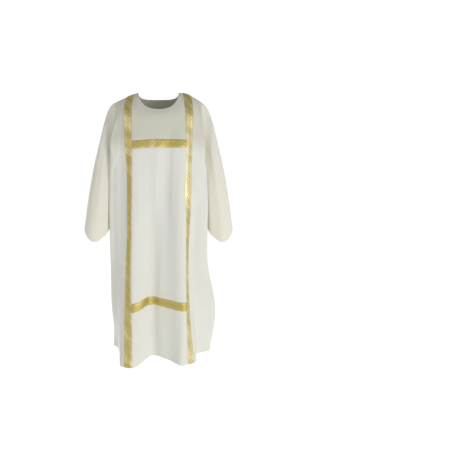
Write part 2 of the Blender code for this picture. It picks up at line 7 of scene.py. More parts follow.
import bpy
import numpy as np
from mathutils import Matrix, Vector


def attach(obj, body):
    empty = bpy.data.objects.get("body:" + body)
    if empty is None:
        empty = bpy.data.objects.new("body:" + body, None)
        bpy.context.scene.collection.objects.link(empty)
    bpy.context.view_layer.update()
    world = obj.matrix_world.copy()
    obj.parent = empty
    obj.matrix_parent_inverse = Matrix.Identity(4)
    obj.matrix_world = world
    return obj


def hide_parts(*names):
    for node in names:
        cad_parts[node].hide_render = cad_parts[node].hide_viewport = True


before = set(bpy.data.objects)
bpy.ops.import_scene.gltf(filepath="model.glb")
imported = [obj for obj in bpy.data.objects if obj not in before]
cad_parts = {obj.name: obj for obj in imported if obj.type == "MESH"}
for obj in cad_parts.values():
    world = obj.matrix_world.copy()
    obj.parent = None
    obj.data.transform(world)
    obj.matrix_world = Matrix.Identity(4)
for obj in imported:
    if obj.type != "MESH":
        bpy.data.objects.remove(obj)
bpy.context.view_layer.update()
print("plain pieces:", ", ".join(sorted(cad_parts)))

# %% [markdown]
# ## The cut and the hang of the garment
# Cloth that hangs is easiest to describe by level sections: where the cloth runs at the chest, the hip and the
# hem. One could also pin a flat pattern to a form and let Blender's cloth simulation drape it, but the folds
# would fall where the solver likes. Sections put every fold where this garment has it. All tables are in
# millimetres and become metres when a mesh is made. +Z is up, the front faces -Y, the wearer's right is -X.

# %% Main sizes in millimetres
MM = 0.001
CLOTH = 1.1  # the cloth itself
HEM_CLOTH = 2.0  # the cloth turned up twice at a hem
BAND = 0.9  # ground of the gold galloon
FACING = 0.9
SEAM_GAP = 0.3  # between two pieces that are sewn together
BAND_WIDTH = 36.0
# Heights below the neck points. The hem's is that of its middle, because it hangs lower at the bands.
UNDERARM, SLIT_TOP, HEM = -360.0, -895.0, -1227.0
PANELS, SIDES = ("front", "back"), ("right", "left")
print("neck points to hem:", -HEM, "mm, with the sides closed down to", -SLIT_TOP, "mm")

# %% [markdown]
# ## Smooth curves through a few values
# A tailor's curve ruler joins marked points with one smooth line. A cubic spline does the same for numbers,
# and since numpy takes whole arrays, one call can carry a complete section of the garment through its heights.

# %% Curves
def hermite(start, end, leave, arrive, t):
    """Cubic curve: the ends weighted by 2t^3-3t^2+1 and 3t^2-2t^3, the directions by t^3-2t^2+t and t^3-t^2."""
    return (
        start * (2 * t**3 - 3 * t**2 + 1)
        + leave * (t**3 - 2 * t**2 + t)
        + end * (3 * t**2 - 2 * t**3)
        + arrive * (t**3 - t**2)
    )


def spline(knots, values, at):
    """Hermite pieces through the values; each slope is the mean of its two neighbours' rates."""
    knots, values, at = (np.asarray(a, float) for a in (knots, values, at))
    deep = (-1, *[1] * (values.ndim - 1))
    steps = np.diff(knots)
    rates = np.diff(values, axis=0) / steps.reshape(deep)
    slopes = np.empty_like(values)
    slopes[0], slopes[-1] = rates[0], rates[-1]
    before = (steps[1:] / (steps[1:] + steps[:-1])).reshape(deep)
    slopes[1:-1] = before * rates[:-1] + (1 - before) * rates[1:]
    i = np.clip(np.searchsorted(knots, at) - 1, 0, len(steps) - 1)
    t, h = ((at - knots[i]) / steps[i]).reshape(deep), steps[i].reshape(deep)
    return hermite(values[i], values[i + 1], slopes[i] * h, slopes[i + 1] * h, t)


def by_height(table, height):
    """A table's row at this height, on the spline through its own rows. The first column is the height."""
    heights = [-row[0] for row in table]
    return spline(heights, [np.hstack(row[1:]) for row in table], [-height])[0]


print("halfway between the marks 0, 1 and 4:", spline([0, 1, 2], [0.0, 1.0, 4.0], [0.5]))

# %% Directions, lengths and soft steps
def unit(vectors):
    """Each vector divided by its length."""
    return vectors / np.linalg.norm(vectors, axis=-1, keepdims=True)


def lengths_along(points):
    """Distance along a line of points: the running sum of the steps between them."""
    steps = np.linalg.norm(np.diff(points, axis=0), axis=-1)
    return np.concatenate([np.zeros_like(steps[:1]), np.cumsum(steps, axis=0)])


def ease(t):
    """Rises from 0 to 1 with level ends: 3t^2-2t^3, held at 0 before and at 1 after."""
    t = np.clip(t, 0, 1)
    return t * t * (3 - 2 * t)


print("a soft step at its quarters:", ease(np.linspace(0, 1, 5)))

# %% [markdown]
# ## The front in level sections
# The front hangs over the chest and falls in broad folds: a trough in the middle, a ridge under each band and a
# flare at each side. Such folds could be sculpted, but here a section is drawn for each height: every row below
# gives x and y of the lines that the cloth runs through there, from the wearer's right to the left. A clavus
# line is the middle of a gold band.

# %% Sections of the front
FRONT_LINES = (
    "edge_r", "flank_r", "clavus_r", "ridge_r", "rise_r", "middle",
    "rise_l", "crest_l", "ridge_l", "clavus_l", "flank_l", "tuck_l", "edge_l",
)  # fmt: skip
FRONT_SECTIONS = (
    # armhole
    (-130.0, (-204, -56), (-160, -90), (-140, -97), (-118, -103), (-60, -111), (0, -113),
     (56, -111), (90, -108), (118, -103), (140, -97), (162, -89), (185, -74), (204, -56)),
    # chest
    (-240.0, (-219, -62), (-158, -98), (-136, -111), (-117, -122), (-62, -126), (-6, -125),
     (50, -126), (90, -128), (121, -125), (140, -112), (157, -96), (185, -82), (211, -62)),
    # underarm
    (-360.0, (-223, -53), (-146, -99), (-131, -116), (-116, -131), (-66, -132), (-10, -124),
     (42, -124), (88, -132), (117, -131), (136, -119), (155, -102), (186, -84), (217, -58)),
    (-460.0, (-224, -52), (-145, -98), (-130, -115), (-116, -131), (-70, -133), (-14, -120),
     (36, -121), (88, -135), (114, -134), (132, -128), (151, -114), (181, -90), (220, -58)),
    # waist
    (-550.0, (-225, -50), (-145, -97), (-130, -115), (-118, -134), (-72, -134), (-16, -117),
     (30, -120), (88, -137), (117, -137), (134, -122), (149, -103), (174, -87), (222, -57)),
    (-640.0, (-226, -43), (-144, -99), (-130, -117), (-117, -136), (-76, -133), (-20, -111),
     (26, -118), (88, -138), (118, -140), (130, -122), (144, -102), (169, -85), (222, -49)),
    # hip
    (-800.0, (-226, -26), (-149, -98), (-134, -117), (-119, -137), (-80, -132), (-28, -104),
     (16, -115), (88, -138), (119, -141), (130, -122), (144, -99), (167, -80), (230, -30)),
    # knee
    (-1020.0, (-227, 36), (-158, -104), (-135, -129), (-114, -142), (-78, -131), (-34, -94),
     (8, -103), (88, -136), (118, -146), (137, -125), (154, -98), (174, -50), (269, -5)),
    # hem
    (HEM, (-205, 66), (-170, -108), (-134, -154), (-104, -152), (-66, -108), (-16, -66),
     (40, -90), (76, -113), (105, -134), (149, -107), (173, -77), (181, 8), (246, 42)),
)  # fmt: skip
print("front:", len(FRONT_SECTIONS), "sections through", len(FRONT_LINES), "lines")

# %% [markdown]
# ## The back in level sections
# The back hangs from the shoulder blades. It is rounder than the front and its folds are shallower, but it is
# drawn in the same way, so that one function can work out both panels.

# %% Sections of the back
BACK_LINES = (
    "edge_r", "flank_r", "clavus_r", "ridge_r", "rise_r", "middle",
    "rise_l", "ridge_l", "clavus_l", "flank_l", "edge_l",
)  # fmt: skip
BACK_SECTIONS = (
    # armhole
    (-130.0, (-203, 78), (-168, 91), (-139, 101), (-119, 106), (-68, 112), (0, 116),
     (68, 112), (118, 106), (138, 101), (168, 91), (203, 78)),
    # shoulder blades
    (-240.0, (-213, 82), (-166, 105), (-138, 123), (-120, 132), (-68, 134), (0, 135),
     (68, 135), (117, 132), (135, 122), (162, 106), (211, 82)),
    # underarm
    (-360.0, (-212, 72), (-165, 115), (-137, 135), (-120, 145), (-70, 148), (0, 149),
     (70, 149), (115, 146), (132, 135), (160, 114), (210, 70)),
    (-460.0, (-211, 72), (-165, 121), (-137, 141), (-119, 152), (-72, 153), (-2, 154),
     (70, 155), (114, 153), (130, 142), (156, 120), (209, 70)),
    # waist
    (-550.0, (-210, 72), (-165, 124), (-137, 145), (-119, 156), (-74, 156), (-4, 158),
     (68, 159), (113, 158), (128, 143), (150, 119), (208, 70)),
    # hip
    (-800.0, (-212, 74), (-164, 132), (-137, 153), (-119, 166), (-76, 163), (-6, 167),
     (64, 168), (112, 170), (127, 155), (148, 130), (218, 72)),
    # knee
    (-1020.0, (-210, 104), (-166, 143), (-138, 163), (-120, 174), (-78, 166), (-8, 174),
     (60, 174), (113, 177), (129, 164), (151, 141), (226, 92)),
    # hem
    (HEM, (-202, 143), (-170, 156), (-140, 172), (-121, 182), (-80, 166), (-10, 182),
     (56, 178), (116, 182), (134, 171), (158, 150), (216, 108)),
)  # fmt: skip
print("back:", len(BACK_SECTIONS), "sections through", len(BACK_LINES), "lines")

# %% [markdown]
# ## Armholes, side seams and slits
# The panels are sewn together at the sides, from the underarm down to the slits. Above, a panel's edge belongs
# to the armhole, and below, the two edges swing apart. The openings could be cut out of the finished surface,
# but as part of every section they give both panels exactly the same seam line.

# %% The side edge of a panel
ARMHOLE_EDGE = {
    "front": (
        # height, right, left
        (-130.0, (-201, -36), (201, -36)),
        (-240.0, (-204, -22), (201, -22)),
        (-325.0, (-206, -16), (201, -16)),
    ),
    "back": (
        (-130.0, (-200, 60), (200, 60)),
        (-240.0, (-204, 50), (201, 50)),
        (-325.0, (-206, 26), (201, 26)),
    ),
}
# The side seams, which the two panels share down to the slits, and the middle of each slit below.
SIDE_SEAM = (
    # height, right, left
    (UNDERARM, (-206, 3), (201, 3)),
    (-550.0, (-207, 8), (203, 8)),
    (-800.0, (-208, 22), (214, 22)),
    (-1020.0, (-211, 66), (246, 30)),
    (HEM, (-210, 121), (233, 68)),
)
SLIT_SPREAD = {"front": ((-13, -9), (9, -11)), "back": ((9, 11), (-9, 13))}  # at the hem: right, left
SLIT_SWING = 1.4  # power with which a slit opens towards the hem


def side_edge(panel, height, side):
    """The panel's edge at the armhole, side seam or slit: the seam's spline, and below the slit's top the
    spread times the share of the slit passed, to the power of the swing. side is 0 on the right, 1 on the left."""
    seam = [(row[0], row[1 + side]) for row in SIDE_SEAM]
    if height > UNDERARM:
        hole = [(row[0], row[1 + side]) for row in ARMHOLE_EDGE[panel]]
        return by_height(hole + seam[:1], height)
    opened = max(0.0, (SLIT_TOP - height) / (SLIT_TOP - HEM)) ** SLIT_SWING
    return by_height(seam, height) + opened * np.array(SLIT_SPREAD[panel][side], float)


print("slits open at the hem, in mm:", [side_edge("back", HEM, s)[1] - side_edge("front", HEM, s)[1] for s in (0, 1)])

# %% [markdown]
# ## Drops and soft folds
# A row of cloth isn't quite level: the heavy bands pull it lower. And soft folds lie on top of the sections. A
# bell curve makes one fold, and its height changes from level to level, as a fold opens on its way down. A
# Displace modifier with a texture could make folds too, but not these folds in these places.

# %% Drops
# How far a level row of cloth hangs below its height in the middle.
DROPS = {
    "front": (
        # height, right band, left band, right side, left side
        (-130.0, 6.0, 5.0, 12.0, 12.0),
        (-240.0, 7.0, 3.0, 10.0, 10.0),
        (UNDERARM, 8.0, 5.0, 0.0, 0.0),
        (-800.0, 12.0, 8.0, 0.0, 0.0),
        (-965.0, 26.0, 15.0, 0.0, 0.0),
        (HEM, 20.0, 18.0, 2.0, 8.0),
    ),
    "back": (
        (-130.0, 3.0, 5.0, 12.0, 12.0),
        (-300.0, 2.0, 9.0, 8.0, 8.0),
        (UNDERARM, 3.0, 7.0, 0.0, 0.0),
        (-800.0, 5.0, 6.0, 0.0, 0.0),
        (HEM, 14.0, 12.0, 2.0, 8.0),
    ),
}
print("the bands draw the hem down by", DROPS["front"][-1][1:3], "mm in front and", DROPS["back"][-1][1:3], "behind")

# %% Soft folds
# Place across the cloth from the middle line, half width, and how far the fold stands out at the chest, the
# hip and the hem. Less than nothing is a trough.
FOLDS = {
    "front": (
        # name, place, half width, chest, hip, hem
        ("breast_crease", -56.0, 16.0, -2.5, -1.5, 0.0),
        ("middle_pleat", 6.0, 16.0, 3.0, 1.0, 0.0),
        ("left_crease", 60.0, 15.0, -3.0, -1.0, 0.0),
        ("right_flank", -196.0, 20.0, 2.0, 5.0, 8.0),
        ("left_flank", 215.0, 22.0, 2.0, -6.0, 0.0),
    ),
    "back": (
        ("left_trough", 48.0, 24.0, -2.0, -8.0, -11.0),
        ("middle_ridge", -28.0, 26.0, 3.0, 6.0, 7.0),
        ("right_trough", -92.0, 22.0, -1.0, -3.0, -5.0),
        ("right_flank", -194.0, 18.0, 0.0, 4.0, 6.0),
    ),
}
FOLD_LEVELS = (-130.0, -300.0, -800.0, HEM)  # no fold, chest, hip, hem


def fold_height(panel, across, height):
    """Soft folds: the sum of bells exp(-(distance / half width)^2), each times its height at this level."""
    levels = [-level for level in FOLD_LEVELS]
    return sum(
        np.interp(-height, levels, [0.0, chest, hip, hem]) * np.exp(-(((across - place) / half_width) ** 2))
        for _, place, half_width, chest, hip, hem in FOLDS[panel]
    )


for panel, table in FOLDS.items():
    print(panel, "folds:", ", ".join(row[0] for row in table))

# %% A level row of cloth
SECTION_POINTS = 1600
FOLD_FADE = 30.0  # folds fade out over this much before a side edge


def section(panel, height):
    """One level row of cloth: a spline in x and y through the named lines, moved out by the folds and let down
    by a drop that follows the square of a sine from the middle to each band and on to the side."""
    names, sections, outward_sign = {
        "front": (FRONT_LINES, FRONT_SECTIONS, 1),
        "back": (BACK_LINES, BACK_SECTIONS, -1),
    }[panel]
    inner = by_height(sections, height).reshape(-1, 2)
    corners = np.vstack([side_edge(panel, height, 0), inner, side_edge(panel, height, 1)])
    spans = np.linalg.norm(np.diff(corners, axis=0), axis=1)
    knots = np.concatenate([[0.0], np.cumsum(np.sqrt(spans))])
    fine = np.linspace(0, knots[-1], SECTION_POINTS)
    line = spline(knots, corners, fine)
    along = lengths_along(line)
    places = dict(zip(names, np.interp(knots[1:-1], fine, along)))

    turn = unit(np.gradient(line, axis=0))
    outward = np.column_stack([turn[:, 1], -turn[:, 0]]) * outward_sign
    from_middle = along - places["middle"]
    fade = np.minimum(1.0, np.minimum(along, along[-1] - along) / FOLD_FADE)
    line = line + outward * (fold_height(panel, from_middle, height) * fade)[:, None]

    right_band, left_band, right_side, left_side = by_height(DROPS[panel], height)
    hang = np.zeros_like(along)
    for sign, band_drop, side_drop, name in (
        (-1, right_band, right_side, "clavus_r"),
        (1, left_band, left_side, "clavus_l"),
    ):
        reach = abs(places[name] - places["middle"])
        to_band = np.clip(sign * from_middle / reach, 0, 1)
        end = along[-1] - places["middle"] if sign == 1 else places["middle"]
        to_side = np.clip((sign * from_middle - reach) / (end - reach), 0, 1)
        hang += band_drop * np.sin(to_band * np.pi / 2) ** 2
        hang += (side_drop - band_drop) * np.sin(to_side * np.pi / 2) ** 2
    return np.column_stack([line, height - hang]), along, places


print("cloth across the hem:", {panel: round(section(panel, HEM)[1][-1]) for panel in PANELS}, "mm")

# %% [markdown]
# ## The two panels
# The front and back are each cut in one piece from the shoulder line to the hem. The surface has two
# parameters: the row, which goes down the cloth, and the column, which goes across it. A column stays with its
# threads, so that it runs straight down a gold band. Below the chest a row is a level section that sags a
# little towards the bands; above it, each column is one cubic from the shoulder line or neckline down.

# %% Rows and columns
CHEST = -130.0  # the highest level section
ROWS_OVER_CHEST, ARMHOLE_ROWS, SEAM_ROWS, SLIT_ROWS = 26, 39, 83, 55
HEIGHTS = np.concatenate([
    np.linspace(CHEST, UNDERARM, ARMHOLE_ROWS, endpoint=False),
    np.linspace(UNDERARM, SLIT_TOP, SEAM_ROWS, endpoint=False),
    np.linspace(SLIT_TOP, HEM, SLIT_ROWS + 1),
])
UNDERARM_ROW = ROWS_OVER_CHEST + ARMHOLE_ROWS
SLIT_ROW = UNDERARM_ROW + SEAM_ROWS
HOLE_ROWS = UNDERARM_ROW + 1  # rows of a panel beside its armhole
# columns: right side, right band, left band, left side
COLUMNS = {"front": (36, 8, 8, 38), "back": (34, 8, 8, 34)}
print("rows:", ROWS_OVER_CHEST + len(HEIGHTS), "with the underarm at", UNDERARM_ROW, "and the slit at", SLIT_ROW)

# %% The neckline
SPLIT = 4  # columns to each step of the neckline's table
# Half of the neckline on each panel, from the neck point to the middle. Every row is the top of a column
# of the panel; the share says where that column runs between the two bands below.
NECKLINE = {
    "front": (
        # share, across, reach, drop
        (0.02, 98.0, 0.0, 0.0),
        (0.05, 95.5, 24.0, 5.5),
        (0.09, 91.5, 48.0, 20.0),
        (0.145, 84.5, 69.0, 45.0),
        (0.22, 70.0, 85.5, 69.5),
        (0.29, 54.0, 92.5, 82.5),
        (0.36, 36.0, 95.5, 90.0),
        (0.43, 18.0, 96.7, 93.0),
        (0.5, 0.0, 97.0, 94.0),
    ),
    "back": (
        (0.02, 98.0, 0.0, 0.0),
        (0.05, 95.5, 20.0, 2.5),
        (0.09, 91.0, 38.0, 7.5),
        (0.145, 82.0, 54.0, 12.5),
        (0.22, 68.0, 64.0, 15.5),
        (0.29, 52.0, 69.5, 17.0),
        (0.36, 35.0, 73.0, 17.0),
        (0.43, 18.0, 74.5, 17.0),
        (0.5, 0.0, 75.0, 17.0),
    ),
}


def divided(knots, parts):
    """The knots with every step between them cut into equal parts."""
    knots = np.asarray(knots, float)
    return np.interp(np.arange((len(knots) - 1) * parts + 1) / parts, np.arange(len(knots)), knots)


def between_shares(panel):
    """Where the columns between the two bands run, as shares of the way from band to band."""
    shares = [0.0, *(row[0] for row in NECKLINE[panel])]
    return divided([*shares, *(1 - share for share in shares[-2::-1])], SPLIT)


def neck_columns(panel):
    """The columns of the right and left neck points, where the shoulder seams end."""
    start = sum(COLUMNS[panel][:2]) + SPLIT
    return start, start + 2 * (len(NECKLINE[panel]) - 1) * SPLIT


print("the front's neckline is the top of columns", "%d to %d" % neck_columns("front"))

# %% The shoulders
# The shoulder line, from the neck point out to the top of the armhole.
SHOULDER_LINE = {
    # across, height
    "right": (
        (98.0, 0.0), (107.0, -4.0), (125.0, -11.0), (140.0, -17.0),
        (155.0, -23.5), (187.0, -38.0), (206.0, -46.0),
    ),
    "left": (
        (98.0, 0.0), (125.0, -4.0), (140.0, -9.0), (155.0, -15.5),
        (187.0, -34.0), (206.0, -46.0),
    ),
}  # fmt: skip
BAND_ON_SHOULDER = 131.0  # middle of a clavus where it crosses the shoulder


def shoulder_line(side, columns, band):
    """From the armhole in to the neck point: the spline through the shoulder's table, read at even steps
    outside the band, under it and inside it."""
    reach, fall = np.array(SHOULDER_LINE[side]).T
    outer, inner = BAND_ON_SHOULDER + BAND_WIDTH / 2, BAND_ON_SHOULDER - BAND_WIDTH / 2
    across = np.concatenate([
        np.linspace(reach[-1], outer, columns, endpoint=False),
        np.linspace(outer, inner, band, endpoint=False),
        np.linspace(inner, reach[0], SPLIT, endpoint=False),
    ])
    sign = -1 if side == "right" else 1
    return np.column_stack([sign * across, np.zeros_like(across), spline(reach, fall, across)])


print("the shoulders fall to", {side: SHOULDER_LINE[side][-1][1] for side in SIDES}, "mm")

# %% The top edge
NECK_SLOPE = {"front": 66.0, "back": 26.0}  # how steeply the cloth falls away at its middle, in degrees
NECK_ROLL = 0.8  # power with which it gets there from the neck points


def top_edge(panel):
    """The top of every column, on the shoulder line or the neckline, and the direction in which the cloth
    leaves it: level at the shoulders, and at the neck falling with a power of how far out it is."""
    right_side, right_band, left_band, left_side = COLUMNS[panel]
    half = np.array(NECKLINE[panel])
    knots = np.concatenate([half[:, 0], 1 - half[-2::-1, 0]])
    line = np.vstack([half[:, 1:] * (-1, 1, -1), half[-2::-1, 1:] * (1, 1, -1)])
    neck = spline(knots, line, between_shares(panel)[SPLIT:-SPLIT])
    right = shoulder_line("right", right_side, right_band)
    left = shoulder_line("left", left_side, left_band)
    points = np.vstack([right, neck, left[::-1]])
    steep = np.zeros(len(points))
    reached = np.clip(neck[:, 1] / neck[:, 1].max(), 0, 1) ** NECK_ROLL
    steep[len(right) : len(right) + len(neck)] = reached * np.radians(NECK_SLOPE[panel])
    leave = np.column_stack([np.zeros_like(steep), np.cos(steep), -np.sin(steep)])
    if panel == "front":
        points[:, 1] *= -1
        leave[:, 1] *= -1
    return points, leave


print("across the shoulders:", top_edge("front")[0][-1, 0] - top_edge("front")[0][0, 0], "mm")

# %% The panels' surfaces
OFF_SHOULDER, LEAST_REACH = 1.3, 12.0  # how far a column keeps to its first direction, and the least depth for it
ONTO_CHEST, CHEST_AIM = 1.4, -165.0  # the same where it arrives, and the height that it arrives towards


def level_row(panel, height):
    """The section at this height, sampled at the panel's columns."""
    line, along, places = section(panel, height)
    right_side, right_band, left_band, left_side = COLUMNS[panel]
    half = BAND_WIDTH / 2
    right, left = places["clavus_r"], places["clavus_l"]
    at = np.concatenate([
        np.linspace(0.0, right - half, right_side, endpoint=False),
        np.linspace(right - half, right + half, right_band, endpoint=False),
        right + half + between_shares(panel) * (left - right - 2 * half),
        np.linspace(left - half, left + half, left_band + 1)[1:],
        np.linspace(left + half, along[-1], left_side + 1)[1:],
    ])
    return np.column_stack([np.interp(at, along, line[:, k]) for k in range(3)])


def panel_surface(panel):
    """The panel's outer face as a grid: cubics from the top edge to the chest, then the level rows."""
    rows = np.array([level_row(panel, height) for height in HEIGHTS])
    top, leave = top_edge(panel)
    span = rows[0] - top
    leave = leave * OFF_SHOULDER * np.maximum(np.abs(span[:, 1:2]), LEAST_REACH) + span * (1, 0, 0)
    arrive = unit(level_row(panel, CHEST_AIM) - rows[0]) * ONTO_CHEST * np.abs(span[:, 2:3])
    t = np.linspace(0, 1, ROWS_OVER_CHEST, endpoint=False)[:, None, None]
    return np.concatenate([hermite(top, rows[0], leave, arrive, t), rows])


points = {panel: panel_surface(panel) for panel in PANELS}
for panel, grid in points.items():
    print(panel, "panel:", grid.shape[0], "rows by", grid.shape[1], "columns")

# %% [markdown]
# ## The sleeves
# A dalmatic's sleeve is a wide tube, cut straight and sewn into the armhole. A tube is a ring carried along a
# line, so the two parameters are the share of the way to the cuff and the angle round the ring. The first ring
# is the edge of the armhole itself, which makes the seam fit by construction.

# %% Rings of a sleeve
# The wearer's left sleeve; the right one is its mirror image.
SLEEVE_RINGS = (
    # share of length, outer line, inner line, y of the front and back, how far front and back sag
    (0.26, (262, 16, -154), (221, 18, -394), (-46, 84), (12, 10)),
    (0.42, (284, 22, -246), (222, 26, -428), (-58, 104), (26, 20)),
    (0.58, (305, 26, -335), (222, 34, -470), (-66, 118), (40, 30)),
    (0.78, (332, 28, -488), (223, 42, -542), (-72, 130), (56, 42)),
    (1.00, (352, 28, -640), (224, 48, -616), (-76, 138), (71, 52)),
)
SLEEVE_FULLNESS = 0.75  # power of a ring's depth: 1 is an ellipse, and less is fuller
SLEEVE_RUN_IN = 26.0  # how far a sleeve first keeps to the panels' own direction
FIRST_RING = SLEEVE_RINGS[0][0]
SLEEVE_SHARES = np.concatenate([np.linspace(0, FIRST_RING, 25, endpoint=False), np.linspace(FIRST_RING, 1, 60)])
LOW_POWER = 5  # how closely the underarm's own direction keeps to the underarm
UNDERARM_RUN = (0.8, 0.0, -0.6)  # that direction, on the left
TOP_PULL, LOW_PULL = 0.45, 0.4  # shares of the way to the first ring that a sleeve keeps its direction


def ring_angle(ring):
    """The angle of each point round an armhole: half a turn down the front and half a turn up the back, each
    in step with the distance."""
    around = lengths_along(np.vstack([ring, ring[:1]]))
    underarm, whole, around = around[UNDERARM_ROW], around[-1], around[:-1]
    down = np.pi * around / underarm
    return np.where(around <= underarm, down, np.pi + np.pi * (around - underarm) / (whole - underarm))


def round_armhole(side, inwards):
    """The points of both panels round one armhole, so many columns in from its edge."""
    column = inwards if side == "right" else -1 - inwards
    return np.vstack([points["front"][:HOLE_ROWS, column], points["back"][HOLE_ROWS - 2 : 0 : -1, column]])


def sleeve_rings(angle):
    """A ring is its middle plus cos(angle) times half the way to its outer line, plus |sin(angle)|^fullness
    times its depth, with a sag of sin(angle) squared."""
    rings = []
    for _, outer, inner, faces, sags in SLEEVE_RINGS:
        outer, inner = np.array(outer, float), np.array(inner, float)
        middle = (outer + inner) / 2
        to_front, to_back = (np.array([0.0, y - middle[1], -s]) for y, s in zip(faces, sags))
        turned = np.sin(angle)[:, None]
        ring = middle + np.outer(np.cos(angle), (outer - inner) / 2)
        bulge = np.where(turned > 0, to_front, to_back)
        ring[:, 1:2] += np.abs(turned) ** SLEEVE_FULLNESS * bulge[:, 1:2]
        ring[:, 2:3] += turned**2 * bulge[:, 2:3]
        rings.append(ring)
    return np.array(rings)


print("rings of a sleeve:", len(SLEEVE_RINGS), "with", len(SLEEVE_SHARES), "rows of cloth along them")

# %% Sleeve surface
def sleeve_surface(side):
    """A tube from the armhole to the cuff: cubics join the armhole to the first ring, and a spline joins the
    rings. The cloth leaves the armhole as the panels run, and low down in the underarm's own direction."""
    mirror = (-1.0 if side == "right" else 1.0, 1.0, 1.0)
    hole = round_armhole(side, 0)
    angle = ring_angle(hole)
    low = (np.clip(-np.cos(angle), 0, 1) ** LOW_POWER)[:, None]
    run_out = unit(unit(hole - round_armhole(side, 2)) * (1 - low) + np.multiply(UNDERARM_RUN, mirror) * low)

    shares, rings = [row[0] for row in SLEEVE_RINGS], sleeve_rings(angle) * mirror
    first, second = rings[0], spline(shares, rings, [FIRST_RING + 0.01])[0]
    gap = np.linalg.norm(first - hole, axis=1, keepdims=True)
    kept = SLEEVE_RUN_IN * np.abs(np.sin(angle))[:, None]
    leave = run_out * (kept + gap * (TOP_PULL * (1 + np.cos(angle))[:, None] + LOW_PULL * low))
    arrive = unit(second - first) * gap
    near = SLEEVE_SHARES[SLEEVE_SHARES < FIRST_RING][:, None, None] / FIRST_RING
    far = SLEEVE_SHARES[SLEEVE_SHARES >= FIRST_RING]
    return np.concatenate([hermite(hole, first, leave, arrive, near), spline(shares, rings, far)])


for side in SIDES:
    points[side] = sleeve_surface(side)
    print(side, "sleeve:", points[side].shape[0], "rings of", points[side].shape[1], "points")

# %% [markdown]
# ## Which way is out
# Everything that lies on the cloth or under it, such as bands, facings and stitches, is made from the cloth's
# own points moved along its normals, so the normals are worked out once, for the whole grid.

# %% Normals of a grid
def closed_round(grid):
    """A grid with its first column again at the end, so that the last cells close the ring."""
    return np.concatenate([grid, grid[:, :1]], axis=1)


def grid_normals(grid, centre, ring=False):
    """Unit normals: the cross products of each cell's diagonals, summed over the cells round a point, and
    turned away from the centre."""
    closed = closed_round(grid) if ring else grid
    cells = np.cross(closed[1:, 1:] - closed[:-1, :-1], closed[1:, :-1] - closed[:-1, 1:])
    cells = np.pad(cells, ((1, 1), (0, 0), (0, 0)))
    if ring:
        cells = np.concatenate([cells[:, -1:], cells], axis=1)
    else:
        cells = np.pad(cells, ((0, 0), (1, 1), (0, 0)))
    made = unit(cells[1:, 1:] + cells[1:, :-1] + cells[:-1, 1:] + cells[:-1, :-1])
    return made * np.sign(np.median(np.sum(made * (grid - centre), axis=-1)))


print("normals of the front:", grid_normals(points["front"], 0.0).shape)

# %% Normals and seams
BODY_MIDDLE = (0.0, 10.0, -600.0)


def agree(made, *edges):
    """Gives the points that several pieces share at a seam one normal: the sum of theirs, made a unit."""
    shared = unit(sum(made[name][rows, columns] for name, rows, columns in edges))
    for name, rows, columns in edges:
        made[name][rows, columns] = shared


def all_normals():
    """Normals of the four cloth pieces, made to agree along the seams that they share."""
    made = {panel: grid_normals(points[panel], BODY_MIDDLE) for panel in PANELS}
    for side in SIDES:
        made[side] = grid_normals(points[side], points[side].mean(axis=1, keepdims=True), ring=True)

    last = HOLE_ROWS - 1
    hole, seam = np.arange(1, last), np.arange(HOLE_ROWS, SLIT_ROW + 1)
    for panel in PANELS:
        start, stop = neck_columns(panel)
        for part in (slice(0, start + 1), slice(stop, None)):
            made[panel][0, part, 1] = 0.0
            made[panel][0, part] = unit(made[panel][0, part])
    for side, edge in (("right", 0), ("left", -1)):
        made[side][0, 0, 1] = 0.0
        agree(made, ("front", 0, edge), ("back", 0, edge), (side, 0, 0))
        agree(made, ("front", hole, edge), (side, 0, hole))
        agree(made, ("back", hole, edge), (side, 0, 2 * last - hole))
        agree(made, ("front", last, edge), ("back", last, edge), (side, 0, last))
        agree(made, ("front", seam, edge), ("back", seam, edge))
    return made


normals = all_normals()
print("normals of", ", ".join(normals))

# %% [markdown]
# ## Creases
# On top of the broad folds there are the small ones that make cloth look like cloth: long soft troughs where it
# hangs from the shoulder, and short ones that run into the armhole. Each is placed one by one, with its own length,
# width and depth. A sculpting brush would do it as well, but a table can be read and corrected.

# %% Where the creases lie
CREASES = {
    "front": (
        # x and z at the top, x and z at the bottom, half width, how far it stands out
        (-172, -90, -178, -420, 11, -2.0),
        (-186, -150, -196, -640, 9, 1.6),
        (170, -84, 176, -380, 11, -1.8),
        (188, -170, 196, -600, 9, 1.6),
        (-46, -205, -44, -660, 11, -2.6),
        (-11, -205, -15, -620, 11, 2.4),
        (32, -200, 24, -640, 10, -2.6),
        (66, -200, 60, -640, 12, 2.6),
        (-154, -200, -158, -1500, 12, 4.0),
        (-42, -300, -28, -1700, 34, -9.0),
        (-22, -540, -20, -1650, 18, -8.0),
        (90, -60, 96, -1750, 30, 9.0),
        (136, -460, 138, -1750, 22, -4.5),
        (-166, -620, -164, -1650, 22, 5.0),
        (-200, -620, -198, -1650, 26, -9.0),
        (166, -280, 172, -1190, 12, -2.4),
        (198, -420, 206, -1180, 14, 2.4),
    ),
    "back": (
        (-180, -80, -190, -380, 11, -2.2),
        (-168, -170, -172, -720, 11, 1.8),
        (178, -90, 190, -420, 11, -2.2),
        (160, -160, 168, -760, 12, 1.8),
        (-110, -300, -116, -980, 13, -1.8),
        (-52, -340, -58, -1190, 13, 2.0),
        (18, -300, 22, -900, 14, -2.0),
        (76, -420, 82, -1200, 14, -2.4),
        (118, -320, 122, -1100, 12, 1.8),
        (-190, -620, -186, -1190, 12, -2.6),
        (196, -640, 204, -1180, 14, -2.6),
    ),
}
print("creases:", {panel: len(table) for panel, table in CREASES.items()})

# %% Creases of the panels
FADE_IN, FADE_OUT = 0.3, 0.35  # shares of a crease's length
EDGE_COLUMNS = 8  # no crease reaches a panel's side edge


